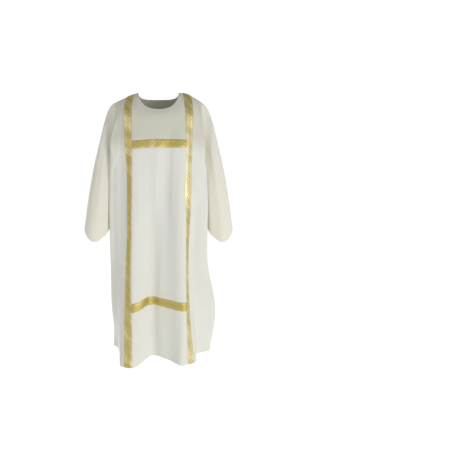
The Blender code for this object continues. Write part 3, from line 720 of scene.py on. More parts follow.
def crease(across, down, top, bottom, half_width, height):
    """A bell exp(-(distance to the crease's line / half width)^2) that fades in and out along the line."""
    share = (down - top[1]) / (bottom[1] - top[1])
    line = top[0] + (bottom[0] - top[0]) * share
    ends = ease(share / FADE_IN) * ease((1 - share) / FADE_OUT)
    return height * ends * np.exp(-(((across - line) / half_width) ** 2))


def creases_of(table, across, down):
    """The sum of a table's creases."""
    return sum(crease(across, down, row[0:2], row[2:4], *row[4:]) for row in table)


def panel_creases(panel):
    """How far the creases lift a panel, fading out over the last columns."""
    width = points[panel].shape[1]
    from_edge = np.minimum(np.arange(width), np.arange(width)[::-1])
    return creases_of(CREASES[panel], points[panel][..., 0], points[panel][..., 2]) * ease(from_edge / EDGE_COLUMNS)


print("deepest of the front's creases:", panel_creases("front").min().round(1), "mm")

# %% [markdown]
# ## Where sleeve and body meet
# A wide sleeve hangs against the body. Both bulge towards each other and leave only a narrow groove, and the
# head of the sleeve stands up beside the armhole. These are bells as well, so they join the same sum.

# %% Creases and bulges of the sleeves
SLEEVE_CREASES = (
    # angle in degrees and share of length at the start, the same at the end, half width in degrees, height
    (62, 0.10, 70, 0.86, 9, -1.6),
    (38, 0.06, 44, 0.60, 8, 1.4),
    (86, 0.14, 84, 0.96, 9, 1.2),
    (104, 0.05, 100, 0.50, 8, -1.0),
    (252, 0.08, 256, 0.80, 8, -3.0),
    (272, 0.12, 274, 0.95, 9, 2.6),
    (292, 0.07, 286, 0.62, 8, -2.8),
    (322, 0.05, 312, 0.50, 8, 2.2),
)
# Beside the body, and at the sleeve's head: the place in degrees, its half width and height.
SLEEVE_BULGES = ((132, 15, 11.0), (230, 16, 7.0))
SLEEVE_HEAD = ((80, 45, 9.0), (280, 45, 6.0))
BULGE_BEGINS, HEAD_BEGINS = 0.08, 0.05  # shares of the length over which they rise
HEAD_PLACE, HEAD_LENGTH = 0.06, 0.07  # share where the head is highest, and its half length


def bells(table, degrees):
    """The sum of height times exp(-((degrees - place) / half width)^2)."""
    return sum(height * np.exp(-(((degrees - place) / half_width) ** 2)) for place, half_width, height in table)


def sleeve_lift(side):
    """How far a sleeve stands out: its creases, its bulges beside the body and its head."""
    degrees = np.degrees(ring_angle(points[side][0]))[None, :]
    share = SLEEVE_SHARES[:, None]
    head = ease(share / HEAD_BEGINS) * np.exp(-(((share - HEAD_PLACE) / HEAD_LENGTH) ** 2))
    return (
        creases_of(SLEEVE_CREASES, degrees, share)
        + ease(share / BULGE_BEGINS) * bells(SLEEVE_BULGES, degrees)
        + head * bells(SLEEVE_HEAD, degrees)
    )


print("creases of a sleeve:", len(SLEEVE_CREASES))

# %% Bulges of the panels
# Half width and height, and for a few heights how far the bulge lies from the side edge.
FLANK_BULGE = {
    "front": (12, 8.0, ((-110, 30), (-240, 50), (-360, 73))),
    "back": (13, 5.0, ((-110, 25), (-240, 42), (-360, 80))),
}
FLANK_BEGINS, FLANK_ENDS = -90, -860
FLANK_FADES = 90, 120  # over so much height at its two ends


def flank_lift(panel):
    """A bell along a line beside each side edge, which fades in below the shoulder and out above the slit."""
    half_width, height, spots = FLANK_BULGE[panel]
    down = points[panel][..., 2]
    along = lengths_along(np.moveaxis(points[panel], 1, 0)).T
    from_side = np.minimum(along, along[:, -1:] - along)
    spot = np.interp(-down, *np.array(spots).T * ((-1,), (1,)))
    run = ease((FLANK_BEGINS - down) / FLANK_FADES[0]) * ease((down - FLANK_ENDS) / FLANK_FADES[1])
    return height * run * np.exp(-(((from_side - spot) / half_width) ** 2))


lifts = {panel: panel_creases(panel) + flank_lift(panel) for panel in PANELS}
lifts |= {side: sleeve_lift(side) for side in SIDES}
for name, lift in lifts.items():
    points[name] += normals[name] * lift[..., None]
    print(f"{name}: creased from {lift.min():.1f} to {lift.max():.1f} mm")
normals = all_normals()

# %% [markdown]
# ## Seams
# Where two pieces are sewn together, both turn in a little and the seam lies in a shallow valley, which is
# deeper round the front of the armhole. A Boolean groove would have sharp edges; here each edge is drawn back
# by half a seam's gap and let down by a bell of the distance from it.

# %% Letting the cloth down
# How many rows or columns move, the depth and the half width.
VALLEY = (8, 0.9, 2.6)
TUCK = {"front": (24, 5.0, 5.0), "back": (24, 3.5, 5.0)}
TUCK_BEGINS, TUCK_ENDS = -70, -300
TUCK_FADES = 60, 110  # over so much height at its two ends


def draw_back(grid, axis, index):
    """Moves one edge of a grid back along its own surface by half the gap of a seam."""
    line = np.moveaxis(grid, axis, 0)
    inner = line[1] if index == 0 else line[-2]
    line[index] += unit(inner - line[index]) * SEAM_GAP / 2


def beside_arm(height):
    """A tuck has a deep middle and nothing at its two ends."""
    return ease((TUCK_BEGINS - height) / TUCK_FADES[0]) * ease((height - TUCK_ENDS) / TUCK_FADES[1])


def let_down(name, axis, index, rows, profile, run=np.ones_like):
    """Lets the cloth down beside one edge, by depth times run times exp(-(distance / half width)^2). The run
    depends on the height along the edge, and is 1 all along a valley."""
    count, depth, half_width = profile
    grid, out = (np.moveaxis(a[name], axis, 0) for a in (points, normals))
    if index == -1:
        grid, out = grid[::-1], out[::-1]
    near = grid[:count, rows]
    fall = depth * run(near[0, :, 2]) * np.exp(-((lengths_along(near) / half_width) ** 2))
    grid[:count, rows] = near - out[:count, rows] * fall[..., None]


print("a tuck's share of its depth at the chest:", beside_arm(CHEST))

# %% Seam valleys
for side, edge in (("right", 0), ("left", -1)):
    for panel in PANELS:
        draw_back(points[panel], 1, edge)
        let_down(panel, 1, edge, slice(0, SLIT_ROW), VALLEY)
    draw_back(points[side], 0, 0)
    let_down(side, 0, 0, slice(None), VALLEY)
for panel, way in (("front", -1), ("back", 1)):
    start, stop = neck_columns(panel)
    for seam in (slice(0, start + 1), slice(stop, None)):
        let_down(panel, 0, 0, seam, VALLEY)
        points[panel][0, seam, 1] = way * SEAM_GAP / 2
for side, edge in (("right", 0), ("left", -1)):
    for panel, half in (("front", slice(0, HOLE_ROWS)), ("back", slice(HOLE_ROWS, None))):
        let_down(panel, 1, edge, slice(0, HOLE_ROWS), TUCK[panel], beside_arm)
        let_down(side, 0, 0, half, TUCK[panel], beside_arm)
normals = all_normals()
front_seam, back_seam = (points[panel][HOLE_ROWS:SLIT_ROW, 0].T for panel in PANELS)
apart = [np.interp(-front_seam[2], -back_seam[2], back_seam[k]) - front_seam[k] for k in (0, 1)]
print("widest gap along the right side seam:", np.hypot(*apart).max().round(2), "mm")

# %% [markdown]
# ## Shader maths as Python
# A material's pattern is arithmetic on sockets. A small class lets it be written as arithmetic: adding or
# multiplying two wires makes the Math node behind the scenes, and any other node comes from one method.

# %% Wires
class Wire:
    """The output of a shader node, which takes part in sums as a number does."""

    def __init__(self, nodes, socket):
        self.nodes, self.socket = nodes, socket

    def maths(self, operation, *others):
        """A Math node on this wire and up to two more wires or numbers."""
        sockets = dict(enumerate((self, *others)))
        return self.nodes.node("ShaderNodeMath", {"operation": operation}, sockets)

    # One Math node each: what + - * / and abs() do, with a wire or a number on the other side.
    def __add__(self, other):
        return self.maths("ADD", other)

    def __sub__(self, other):
        return self.maths("SUBTRACT", other)

    def __rsub__(self, other):
        return (self * -1.0) + other

    def __mul__(self, other):
        return self.maths("MULTIPLY", other)

    def __truediv__(self, other):
        return self.maths("DIVIDE", other)

    def __abs__(self):
        return self.maths("ABSOLUTE")

    __radd__, __rmul__ = __add__, __mul__

    def least(self, other):
        """The smaller of the two."""
        return self.maths("MINIMUM", other)

    def folded(self, half):
        """A zigzag between 0 and half, which turns at every multiple of half."""
        return self.maths("PINGPONG", half)

    def sine(self, length):
        """A wave of this length in metres, from -1 to 1."""
        return (self * (2 * np.pi / length)).maths("SINE")

    def step(self, low, high):
        """0 below low and 1 above high, with a soft step between."""
        settings = {"interpolation_type": "SMOOTHSTEP"}
        return self.nodes.node("ShaderNodeMapRange", settings, {"Value": self, "From Min": low, "From Max": high})

    def ramp(self, low, high, first, last):
        """The first value below low and the last above high, with a straight line between."""
        sockets = {"Value": self, "From Min": low, "From Max": high, "To Min": first, "To Max": last}
        return self.nodes.node("ShaderNodeMapRange", None, sockets)


print("a wire knows", ", ".join(name for name in vars(Wire) if name[0] != "_"))

# %% Nodes
class Nodes:
    """A node tree in which one method makes every kind of node."""

    def __init__(self, tree):
        self.tree = tree

    def node(self, kind, settings=None, sockets=None, out=0):
        """A node with its settings, which are set first, and its sockets' values or wires."""
        made = self.tree.nodes.new(kind)
        for setting, value in (settings or {}).items():
            setattr(made, setting, value)
        for socket, value in (sockets or {}).items():
            self.join(made.inputs[socket], value)
        return Wire(self, made.outputs[out])

    def join(self, socket, value):
        """Leads a wire into a socket, or sets the socket to a value."""
        if isinstance(value, Wire):
            self.tree.links.new(value.socket, socket)
        else:
            socket.default_value = value

    def parts(self, vector):
        """The three numbers of a vector."""
        return [self.node("ShaderNodeSeparateXYZ", None, {0: vector}, out) for out in "XYZ"]


print("a node tree knows", ", ".join(name for name in vars(Nodes) if name[0] != "_"))

# %% Finishes
MIX_COLOURS = {"share": 0, "first": 6, "second": 7, "out": 2}  # the sockets of a Mix node set to colours


class Finish(Nodes):
    """A material whose Principled shader is fed by wires and plain numbers."""

    def __init__(self, name, **plain):
        self.material = bpy.data.materials.new(name)
        self.material.use_nodes = True
        super().__init__(self.material.node_tree)
        self.feed(**plain)

    def feed(self, **values):
        """Sets the shader's sockets; a name has _ where the socket's own has a space."""
        shader = self.tree.nodes["Principled BSDF"]
        for socket, value in values.items():
            self.join(shader.inputs[socket.replace("_", " ")], value)

    def uv(self):
        """The place on the cloth, and metres across and along it."""
        place = self.node("ShaderNodeUVMap", {"uv_map": "cloth"})
        return place, *self.parts(place)[:2]

    def mark(self, name):
        """A number that the mesh carries at each of its points."""
        return self.node("ShaderNodeAttribute", {"attribute_name": name}, out="Fac")

    def noise(self, vector, scale=1.0, detail=2.0):
        """Soft irregular noise about 0.5, with so many grains to a metre."""
        return self.node("ShaderNodeTexNoise", None, {"Vector": vector, "Scale": scale, "Detail": detail})

    def stretched(self, vector, scale):
        """A vector times a number for each direction, so that a pattern on it is drawn out."""
        return self.node("ShaderNodeVectorMath", {"operation": "MULTIPLY"}, {0: vector, 1: scale})

    def mix(self, share, first, second):
        """The first colour at 0 and the second at 1."""
        at = MIX_COLOURS
        sockets = {at["share"]: share, at["first"]: first, at["second"]: second}
        return self.node("ShaderNodeMix", {"data_type": "RGBA"}, sockets, at["out"])

    def bump(self, height, strength, distance):
        """The shader's normal, turned as a surface of this height would turn it."""
        return self.node("ShaderNodeBump", None, {"Height": height, "Strength": strength, "Distance": distance})


print("a finish also knows", ", ".join(name for name in vars(Finish) if name[0] != "_"))

# %% [markdown]
# ## Cream cloth
# The cloth is a fine, matt crepe: single threads can't be told apart at arm's length, but they break up the
# light. Two waves across each other in the cloth's own UV give the weave, with stretched noise for threads
# that are a little thicker, and a soft sheen stands for the fibres that stick out. An image texture could
# show a real weave, but it would tie the garment to one size of picture.

# %% The cloth's finish
THREAD = 0.0013  # metres from thread to thread
SLUB = (900.0, 60.0, 0.0)  # grains to a metre across and along a thicker thread
CLOUDS = 9.0  # grains to a metre of the faint unevenness of the dye
CLOUD_TONE, SLUB_TONE, WEAVE_TONE = 0.5, 0.35, 0.04  # how much each of them changes the tone


def cloth_finish(name, light, shade, lined_and_painted_shade):
    """Two colours mixed by clouds, slubs and the weave, and a third where the facing lies behind the cloth and as
    painted shade on the yoke. The weave is sine across times sine along; the slubs are noise that is drawn out
    along each way of the threads."""
    finish = Finish(
        name, Sheen_Weight=0.2, Sheen_Roughness=0.45, Specular_IOR_Level=0.25,
        Subsurface_Weight=0.35, Subsurface_Radius=(1.0, 1.0, 0.8), Subsurface_Scale=0.002,
    )  # fmt: skip
    place, across, along = finish.uv()
    weave = across.sine(THREAD) * along.sine(THREAD)
    down, over = (finish.noise(finish.stretched(place, scale)) for scale in (SLUB, (SLUB[1], SLUB[0], 0.0)))
    slub = down + over - 1.0
    cloudy = finish.noise(place, CLOUDS, detail=3.0)
    tone = (cloudy - 0.5) * CLOUD_TONE + slub * SLUB_TONE + weave * WEAVE_TONE + 0.5
    colour = finish.mix(tone.step(0.0, 1.0), shade, light)
    finish.feed(
        # The mark darkens the colour where the facing shows through, and on the yoke as painted shade.
        Base_Color=finish.mix(finish.mark("lining"), colour, lined_and_painted_shade),
        Roughness=0.78 + slub * 0.12,
        Normal=finish.bump(weave * 0.5 + slub, strength=0.35, distance=0.0004),
    )
    return finish.material


cream_cloth = cloth_finish("cream_cloth", (0.86, 0.862, 0.785, 1), (0.82, 0.822, 0.74, 1), (0.66, 0.655, 0.54, 1))
# The sleeves are the cream cloth made lighter and warmer: painted light, for light that glows through the thin
# hanging sleeves.
sleeve_cloth = cloth_finish("sleeve_cloth", (0.89, 0.868, 0.757, 1), (0.85, 0.828, 0.707, 1), (0.74, 0.73, 0.62, 1))
facing_cloth = cloth_finish("facing_cloth", (0.74, 0.72, 0.62, 1), (0.70, 0.68, 0.57, 1), (0.70, 0.68, 0.57, 1))
print("cloth finishes:", cream_cloth.name, sleeve_cloth.name, facing_cloth.name)

# %% [markdown]
# ## A shell from two grids
# Cloth has a thickness, and its edge is a rounded fold. A Solidify modifier can thicken an open surface evenly,
# but here the hems are thicker than the rest, so the inner face is worked out too, and a rim with one row of
# points standing out in the middle joins the two faces into a closed wall.

# %% Faces of a grid
def quads(grid):
    """Four neighbours for each cell of a grid of numbers."""
    return np.stack([grid[:-1, :-1], grid[:-1, 1:], grid[1:, 1:], grid[1:, :-1]], -1).reshape(-1, 4)


def edges_of(grid, ring):
    """The closed lines round a grid: one round a sheet, and one at each end of a tube."""
    if ring:
        return [grid[0], grid[-1, ::-1]]
    return [np.concatenate([grid[0], grid[1:, -1], grid[-1, -2::-1], grid[-2:0:-1, 0], grid[0, :1]])]


print("closed line round a sheet of 3 by 3 points:", edges_of(np.arange(9).reshape(3, 3), ring=False)[0])

# %% A piece
def add_piece(name, verts, faces, finish):
    """A smooth object at the origin, from points in metres, with one finish."""
    mesh = bpy.data.meshes.new(name)
    mesh.from_pydata(verts.tolist(), [], faces.tolist())
    mesh.shade_smooth()
    mesh.materials.append(finish)
    piece = bpy.data.objects.new(name, mesh)
    bpy.context.scene.collection.objects.link(piece)
    return piece


# %% The shell
ROUND_EDGE = 0.4  # how far an edge's middle stands out, as a share of the thickness


def edge_points(outer, inner, ring):
    """The middle of the wall, moved outwards at the edges by a share of the wall's thickness."""
    middle = (outer + inner) / 2
    flow = np.zeros_like(outer)
    flow[0] += unit(middle[0] - middle[1])
    flow[-1] += unit(middle[-1] - middle[-2])
    if not ring:
        flow[:, 0] += unit(middle[:, 0] - middle[:, 1])
        flow[:, -1] += unit(middle[:, -1] - middle[:, -2])
    thick = np.linalg.norm(outer - inner, axis=-1, keepdims=True)
    with np.errstate(invalid="ignore"):
        return (middle + np.nan_to_num(unit(flow)) * thick * ROUND_EDGE).reshape(-1, 3)


def shell(name, outer, inner, out, finish, place, node, ring=False, marks=None):
    """A closed wall between two grids, in place of a plain node. Points are numbered row by row; a face is four
    neighbours, and all faces turn over where their first cross product looks away from the normals."""
    rows, columns = outer.shape[:2]
    index = np.arange(rows * columns).reshape(rows, columns)
    wide = closed_round(index) if ring else index
    corner = np.arange(rows * place.shape[1]).reshape(rows, -1)
    faces, corners = [quads(wide), quads(wide)[:, ::-1] + index.size], [quads(corner), quads(corner)[:, ::-1]]
    verts = [outer.reshape(-1, 3), inner.reshape(-1, 3)]
    round_edge = edge_points(outer, inner, ring)
    count = 2 * index.size
    for loop, corner_loop in zip(edges_of(wide, ring), edges_of(corner, ring)):
        a, b, c, d = loop[1:], loop[:-1], corner_loop[1:], corner_loop[:-1]
        rim = count + np.arange(len(loop) - 1)
        following = np.roll(rim, -1)
        verts.append(round_edge[b])
        faces += [
            np.stack([a, b, rim, following], -1),
            np.stack([following, rim, b + index.size, a + index.size], -1),
        ]
        corners += [np.stack([c, d, d, c], -1)] * 2
        count += len(rim)
    verts, faces, corners = (np.concatenate(part) for part in (verts, faces, corners))
    first = np.cross(outer[0, 1] - outer[0, 0], outer[1, 1] - outer[0, 1])
    if first @ out[0, 0] < 0:
        faces, corners = faces[:, ::-1], corners[:, ::-1]

    piece = add_piece(name, verts * MM, faces, finish)
    layer = piece.data.uv_layers.new(name="cloth")
    layer.data.foreach_set("uv", (place.reshape(-1, 2) * MM)[corners.ravel()].astype(np.float32).ravel())
    for mark, share in (marks or {}).items():
        values = np.full(len(verts), share.mean(), np.float32)
        values[: 2 * index.size] = np.tile(share.ravel(), 2)
        piece.data.attributes.new(mark, "FLOAT", "POINT").data.foreach_set("value", values)
    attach(piece, "root")
    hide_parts(node)
    print(f"{name}: {len(faces)} faces")
    return piece


print("a hem's rounded edge stands out by", ROUND_EDGE * HEM_CLOTH, "mm")

# %% The place on the cloth
def cloth_place(grid, ring=False):
    """Millimetres across and along: running sums of the steps along the rows and down the columns."""
    wide = closed_round(grid) if ring else grid
    across = lengths_along(np.moveaxis(wide, 1, 0)).T
    along = lengths_along(wide).mean(axis=1, keepdims=True) + np.zeros_like(across)
    return np.stack([across - across.mean(axis=1, keepdims=True), along], -1)


print("a sleeve's cloth round the armhole:", round(np.ptp(cloth_place(points["right"], True)[0, :, 0])), "mm")

# %% [markdown]
# ## Cloth pieces
# Four pieces of cloth make the garment. The hem, the slits and the cuffs are turned up, so the cloth is doubled
# there. The neck facing inside shows through the cloth as a warmer tone, and the yoke is painted darker as
# painted shade; one attribute carries both.

# %% What shows through the cloth, and the painted shade on the yoke
FACING_EDGE = {"front": (130.0, 148.0), "back": (130.0, 113.0)}  # half width and depth of a facing
FACING_POWER = 2.5  # 2 would be an ellipse; more makes the arch of its edge fuller
# How far the facing that shows through, and the yoke's painted shade, darken the cloth
FACING_TONE, YOKE_PAINTED_SHADE = 0.85, 0.75
TONE_EDGE, TONE_BLUR = 0.93, 0.1  # the reach at which a facing's tone begins to fade, and over how much
YOKE_ENDS, YOKE_FADE = -300, 90  # the yoke's painted shade is gone at this height, and whole this much above it


def facing_reach(panel, grid):
    """How far out a place lies: |x / half width|^power + |z / depth|^power, which is 1 at the facing's edge."""
    half_width, deep = FACING_EDGE[panel]
    return (np.abs(grid[..., 0]) / half_width) ** FACING_POWER + (np.abs(grid[..., 2]) / deep) ** FACING_POWER


def facing_and_painted_shade_share(panel, grid):
    """How much the cloth is darkened: a facing that shows through it, more than the yoke's painted shade, which fades
    out downwards.
    """
    facing = 1 - ease((facing_reach(panel, grid) - TONE_EDGE) / TONE_BLUR)
    # Painted shade on the yoke: the tops of the panels catch less light.
    yoke = ease((grid[..., 2] - YOKE_ENDS) / YOKE_FADE)
    return np.maximum(FACING_TONE * facing, YOKE_PAINTED_SHADE * yoke)


print("share of the front that is toned:", facing_and_painted_shade_share("front", points["front"]).mean().round(3))

# %% Panels and sleeves
HEM_DEPTH, SLIT_HEM, CUFF_HEM = 32.0, 16.0, 30.0
FOLD_WIDTH = 1.5  # over which the cloth thickens at the edge of a hem


def hemmed(grid, out, turned):
    """The cloth's inner face: the outer one moved in by the cloth, or by a hem's cloth where it is turned up."""
    return grid - out * (CLOTH + (HEM_CLOTH - CLOTH) * turned)[..., None]


sheets = {}
for panel in PANELS:
    grid, out = points[panel], normals[panel]
    place = cloth_place(grid)
    along, across = place[..., 1], place[..., 0]
    turned = ease((HEM_DEPTH - (along[-1] - along)) / FOLD_WIDTH)
    from_side = np.minimum(across - across[:, :1], across[:, -1:] - across)
    slit = (np.arange(len(grid)) > SLIT_ROW)[:, None]
    turned = np.maximum(turned, slit * ease((SLIT_HEM - from_side) / FOLD_WIDTH))
    sheets[panel] = shell(
        f"{panel}_cloth", grid, hemmed(grid, out, turned), out, cream_cloth, place,
        node=f"{panel}_panel", marks={"lining": facing_and_painted_shade_share(panel, grid)},
    )  # fmt: skip
for side in SIDES:
    grid, out = points[side], normals[side]
    place = cloth_place(grid, ring=True)
    to_cuff = place[-1:, :-1, 1] - place[:, :-1, 1]
    sheets[side] = shell(
        f"sleeve_{side}_cloth", grid, hemmed(grid, out, ease((CUFF_HEM - to_cuff) / FOLD_WIDTH)), out,
        sleeve_cloth, place, ring=True, node=f"sleeve_{side}",
    )  # fmt: skip

# %% [markdown]
# ## Pieces that lie on the cloth
# A band follows the cloth's threads, so its grid is the cloth's grid read again at closer rows and columns.
# Splines through rows and then through columns give any place between the grid's own points.

# %% Reading a grid between its points
def resample(grid, rows_at, columns_at):
    """The grid at fractional rows and columns: one spline down, then one across."""
    down = spline(np.arange(len(grid)), grid, rows_at)
    over = spline(np.arange(down.shape[1]), np.moveaxis(down, 1, 0), columns_at)
    return np.moveaxis(over, 0, 1)


def even_rows(line, step):
    """Fractional rows whose distances along a line of points are equal, with those distances."""
    along = lengths_along(line)
    at = np.linspace(0, along[-1], int(round(along[-1] / step)) + 1)
    return np.interp(at, along, np.arange(len(line))), at


print("rows 10 mm apart down the front's side:", len(even_rows(points["front"][:, 0], 10.0)[1]))

# %% [markdown]
# ## Gold galloon
# The bands are galloon, a ribbon woven with flat metal thread. Its pattern is an old and common one: two
# zigzags of dark ground cross down the middle and make a chain of diamonds with a raised pip in each, and the
# wide edges stay plain. One number describes it: the distance to the nearest diamond's centre, measured along
# the diagonals, which is 0 on a pip and 1 where the zigzags run. The mesh is raised by it here and the finish
# is coloured by it below, so the two always fit.

# %% The galloon's form
REPEAT = 19.6  # from pip to pip
REACH = 7.6  # from the middle to a zigzag's turn, where the plain edge begins
EDGE = 15.4  # where the selvedge cord begins
RELIEF = 0.22
PLAIN, PIP_RISE, CORD_FALL = 0.8, 0.6, 0.5  # shares of the relief: the face, and what a pip adds and a cord takes
ZIGZAG, PIP = (0.64, 0.80), (0.16, 0.30)  # distances where the zigzags begin and the pips end
CHAIN_EDGE, PIP_EDGE, CORD_EDGE = 0.6, 2.0, 0.7  # over which the chain, the outer pips and the face end
WAVES = (47.0, 58.0, 71.0, 88.0, 110.0)  # how long the puckers of a sewn ribbon are
WAVE_HEIGHT = 0.16


def folded(x, half):
    """A zigzag between 0 and half: the distance from x to the nearest even multiple of half."""
    return np.abs((x / half + 1) % 2 - 1) * half


def diamond(across, along):
    """0 on a diamond's pip and 1 on the zigzags: the sum of the two folded shares, folded again at 1."""
    shares = folded(across, REACH) / REACH + folded(along, REPEAT / 2) / (REPEAT / 2)
    return np.minimum(shares, 2 - shares)


def galloon_relief(across, along):
    """The zigzags are sunk and the pips stand up, within the chain, and each edge is a lower cord."""
    far, side = diamond(across, along), np.abs(across)
    chain = ease((REACH + CHAIN_EDGE - side) / CHAIN_EDGE)
    sunk = ease((far - ZIGZAG[0]) / (ZIGZAG[1] - ZIGZAG[0])) * chain
    pips = ease((PIP[1] - far) / (PIP[1] - PIP[0])) * ease((REACH - side) / PIP_EDGE)
    cord = ease((side - EDGE) / CORD_EDGE)
    return RELIEF * (PLAIN - PLAIN * sunk + PIP_RISE * pips - CORD_FALL * cord)


def pucker(across, along, seed):
    """The slight waviness of a sewn ribbon: long sines that lean across each other."""
    draw = np.random.default_rng(seed)
    waves = 0.0
    for length in WAVES:
        lean, start = draw.uniform(-0.9, 0.9), draw.uniform(0, 2 * np.pi)
        waves = waves + np.sin(2 * np.pi * (along + lean * across) / length + start)
    return WAVE_HEIGHT * waves


spots = np.array([0.0, 0.0, 12.0]), np.array([0.0, 7.5, 0.0])
print("relief on a pip, in a zigzag and on the plain edge:", galloon_relief(*spots).round(3), "mm")

# %% [markdown]
# ## The gold of the galloon
# Flat metal thread is a metal that is slightly rough, because the thread turns at every crossing. The ground
# between the diamonds is darker, as thread is there that lies lower. Stretches of the ribbon are painted
# brighter or duller, as painted reflection of the lights: drawn-out noise makes the small ones and a mark on the
# mesh the long ones, and the brightest turn to a pale painted highlight.

# %% The gold finish
METAL_THREAD = 0.0009, 0.0021  # metres from thread to thread, along and across
GOLD = (0.64, 0.525, 0.17, 1), (0.96, 0.865, 0.51, 1), (1.0, 0.97, 0.78, 1)  # dull gold, bright gold, and a pale painted highlight
GROUND = (0.56, 0.45, 0.14, 1), (0.74, 0.62, 0.29, 1)
GROOVE = EDGE - 0.6, EDGE, EDGE + 0.4, EDGE + 1.0  # where the dark line beside the selvedge begins and ends
GROOVE_SHARE = 0.6  # how dark it is, where a zigzag is 1
DRIFT = (10.0, 34.0, 0.0)  # grains to a metre of the painted reflection patches, along and across their lean
LEAN = 0.7  # of the stretches, in radians


def gold_finish():
    """The ground shows in the zigzags and beside the selvedge, and elsewhere the gold is as bright as noise,
    threads and the mark say together; the noise and the mark are painted reflection, and the brightest turn to
    a pale painted highlight."""
    finish = Finish("gold_galloon", Metallic=0.75)
    place, across, along = finish.uv()
    side = abs(across)
    width, length = REACH * MM, REPEAT / 2 * MM
    shares = across.folded(width) / width + along.folded(length) / length
    far = shares.least(2.0 - shares)
    chain = 1.0 - side.step(REACH * MM, (REACH + CHAIN_EDGE) * MM)
    groove = side.step(GROOVE[0] * MM, GROOVE[1] * MM) * (1.0 - side.step(GROOVE[2] * MM, GROOVE[3] * MM))
    dark = (far.step(*ZIGZAG) * chain + groove * GROOVE_SHARE).step(0.0, 1.0)
    threads = along.sine(METAL_THREAD[0]) * (across + along * 0.4).sine(METAL_THREAD[1])
    leaning = finish.node("ShaderNodeVectorRotate", {"rotation_type": "Z_AXIS"}, {"Vector": place, "Angle": LEAN})
    drift = finish.noise(finish.stretched(leaning, DRIFT))
    # Noise and the mark paint brighter and duller stretches into the colour: painted reflection of the lights.
    painted_reflection_patches = (drift - 0.5) * 1.8 + threads * 0.1 + finish.mark("painted_reflection")
    bright = finish.mix(painted_reflection_patches.step(0.0, 1.0), *GOLD[:2])
    # Where the painted reflection is strongest, the gold turns pale: a painted highlight.
    bright = finish.mix(painted_reflection_patches.step(0.8, 1.3), bright, GOLD[2])
    ground = finish.mix(painted_reflection_patches.step(0.0, 1.0), *GROUND)
    finish.feed(
        Base_Color=finish.mix(dark, bright, ground),
        Roughness=0.44 + dark * 0.14 + (drift - 0.5) * 0.1,
        Normal=finish.bump(threads, strength=0.3, distance=0.0003),
    )
    return finish.material


galloon = gold_finish()
print("metal finish:", galloon.name)

# %% [markdown]
# ## The two clavi and the cross bands
# A clavus is one ribbon, a little over two and a half metres long, which starts at the front hem, crosses the
# shoulder seam and ends at the back hem. The cross bands fill the way between the clavi.

# %% Painted reflection along the ribbons
PAINTED_REFLECTION = {
    # share of the ribbon's length, and how much brighter the painted reflection makes the metal there; below 0 it is
    # painted duller
    "clavus_right": (
        (0.0, 0.35), (0.088, 0.25), (0.115, 0.2), (0.362, 0.15), (0.38, 0.5), (0.40, 0.2), (0.412, 0.5),
        (0.438, 0.6), (0.449, 0.45), (0.5, 0.5), (0.545, 0.4), (0.568, 0.6), (0.60, 0.62), (0.623, 0.45),
        (0.713, 0.5), (0.80, 0.85), (1.0, 0.8),
    ),
    "clavus_left": (
        (0.0, 0.7), (0.06, 0.65), (0.096, 0.35), (0.256, 0.35), (0.276, 0.75), (0.418, 0.85), (0.43, 0.5),
        (0.5, 0.4), (0.54, 0.35), (0.59, 0.9), (0.62, 0.75), (0.66, 1.15), (0.70, 0.7), (0.74, 0.3), (1.0, 0.3),
    ),
    "cross_band_front_chest": (
        (0.0, 0.0), (0.27, 0.0), (0.34, 0.35), (0.41, 0.35), (0.47, -0.1), (0.58, 0.0), (0.65, 0.3), (0.72, -0.1),
        (0.9, 0.0), (1.0, 0.1),
    ),
    "cross_band_front_knee": ((0.0, -0.3), (0.4, -0.4), (0.7, -0.4), (1.0, -0.2)),
    "cross_band_back_chest": ((0.0, 0.6), (0.3, 0.8), (0.6, 0.75), (1.0, 0.55)),
}  # fmt: skip
print("brightness is marked on", len(PAINTED_REFLECTION), "ribbons")

# %% A ribbon
STEP = 1.5  # between a ribbon's rows and columns
SEWN_EDGE = 9.0  # the puckers fade out so far from the stitches


def band(name, grid, out, node, seed):
    """A ribbon on the cloth: its columns are even over its width, its rows over its length, and its face is
    the cloth's, moved out by the gap, the ribbon's own thickness, its relief and its slight waviness."""
    rows_at, along = even_rows(grid[:, grid.shape[1] // 2], STEP)
    columns_at = np.linspace(0, grid.shape[1] - 1, int(round(BAND_WIDTH / STEP)) + 1)
    base, up = resample(grid, rows_at, columns_at), unit(resample(out, rows_at, columns_at))
    across = np.linspace(-BAND_WIDTH / 2, BAND_WIDTH / 2, len(columns_at))
    across, along = np.meshgrid(across, along)
    wave = pucker(across, along, seed)
    lift = SEAM_GAP + (wave - wave.min()) * ease((BAND_WIDTH / 2 - np.abs(across)) / SEWN_EDGE)
    outer = base + up * (lift + BAND + galloon_relief(across, along))[..., None]
    inner = base + up * lift[..., None]
    place = np.stack([across, along - along.mean()], -1)
    # How bright the painted reflection makes each row of the ribbon, from its table
    painted_reflection = np.interp(along / along.max(), *zip(*PAINTED_REFLECTION[node]))
    made = shell(name, outer, inner, up, galloon, place, node=node, marks={"painted_reflection": painted_reflection})
    return made, outer, up, (BAND_WIDTH * MM, along.max() * MM)


print("rows in a metre of ribbon:", round(1000 / STEP))

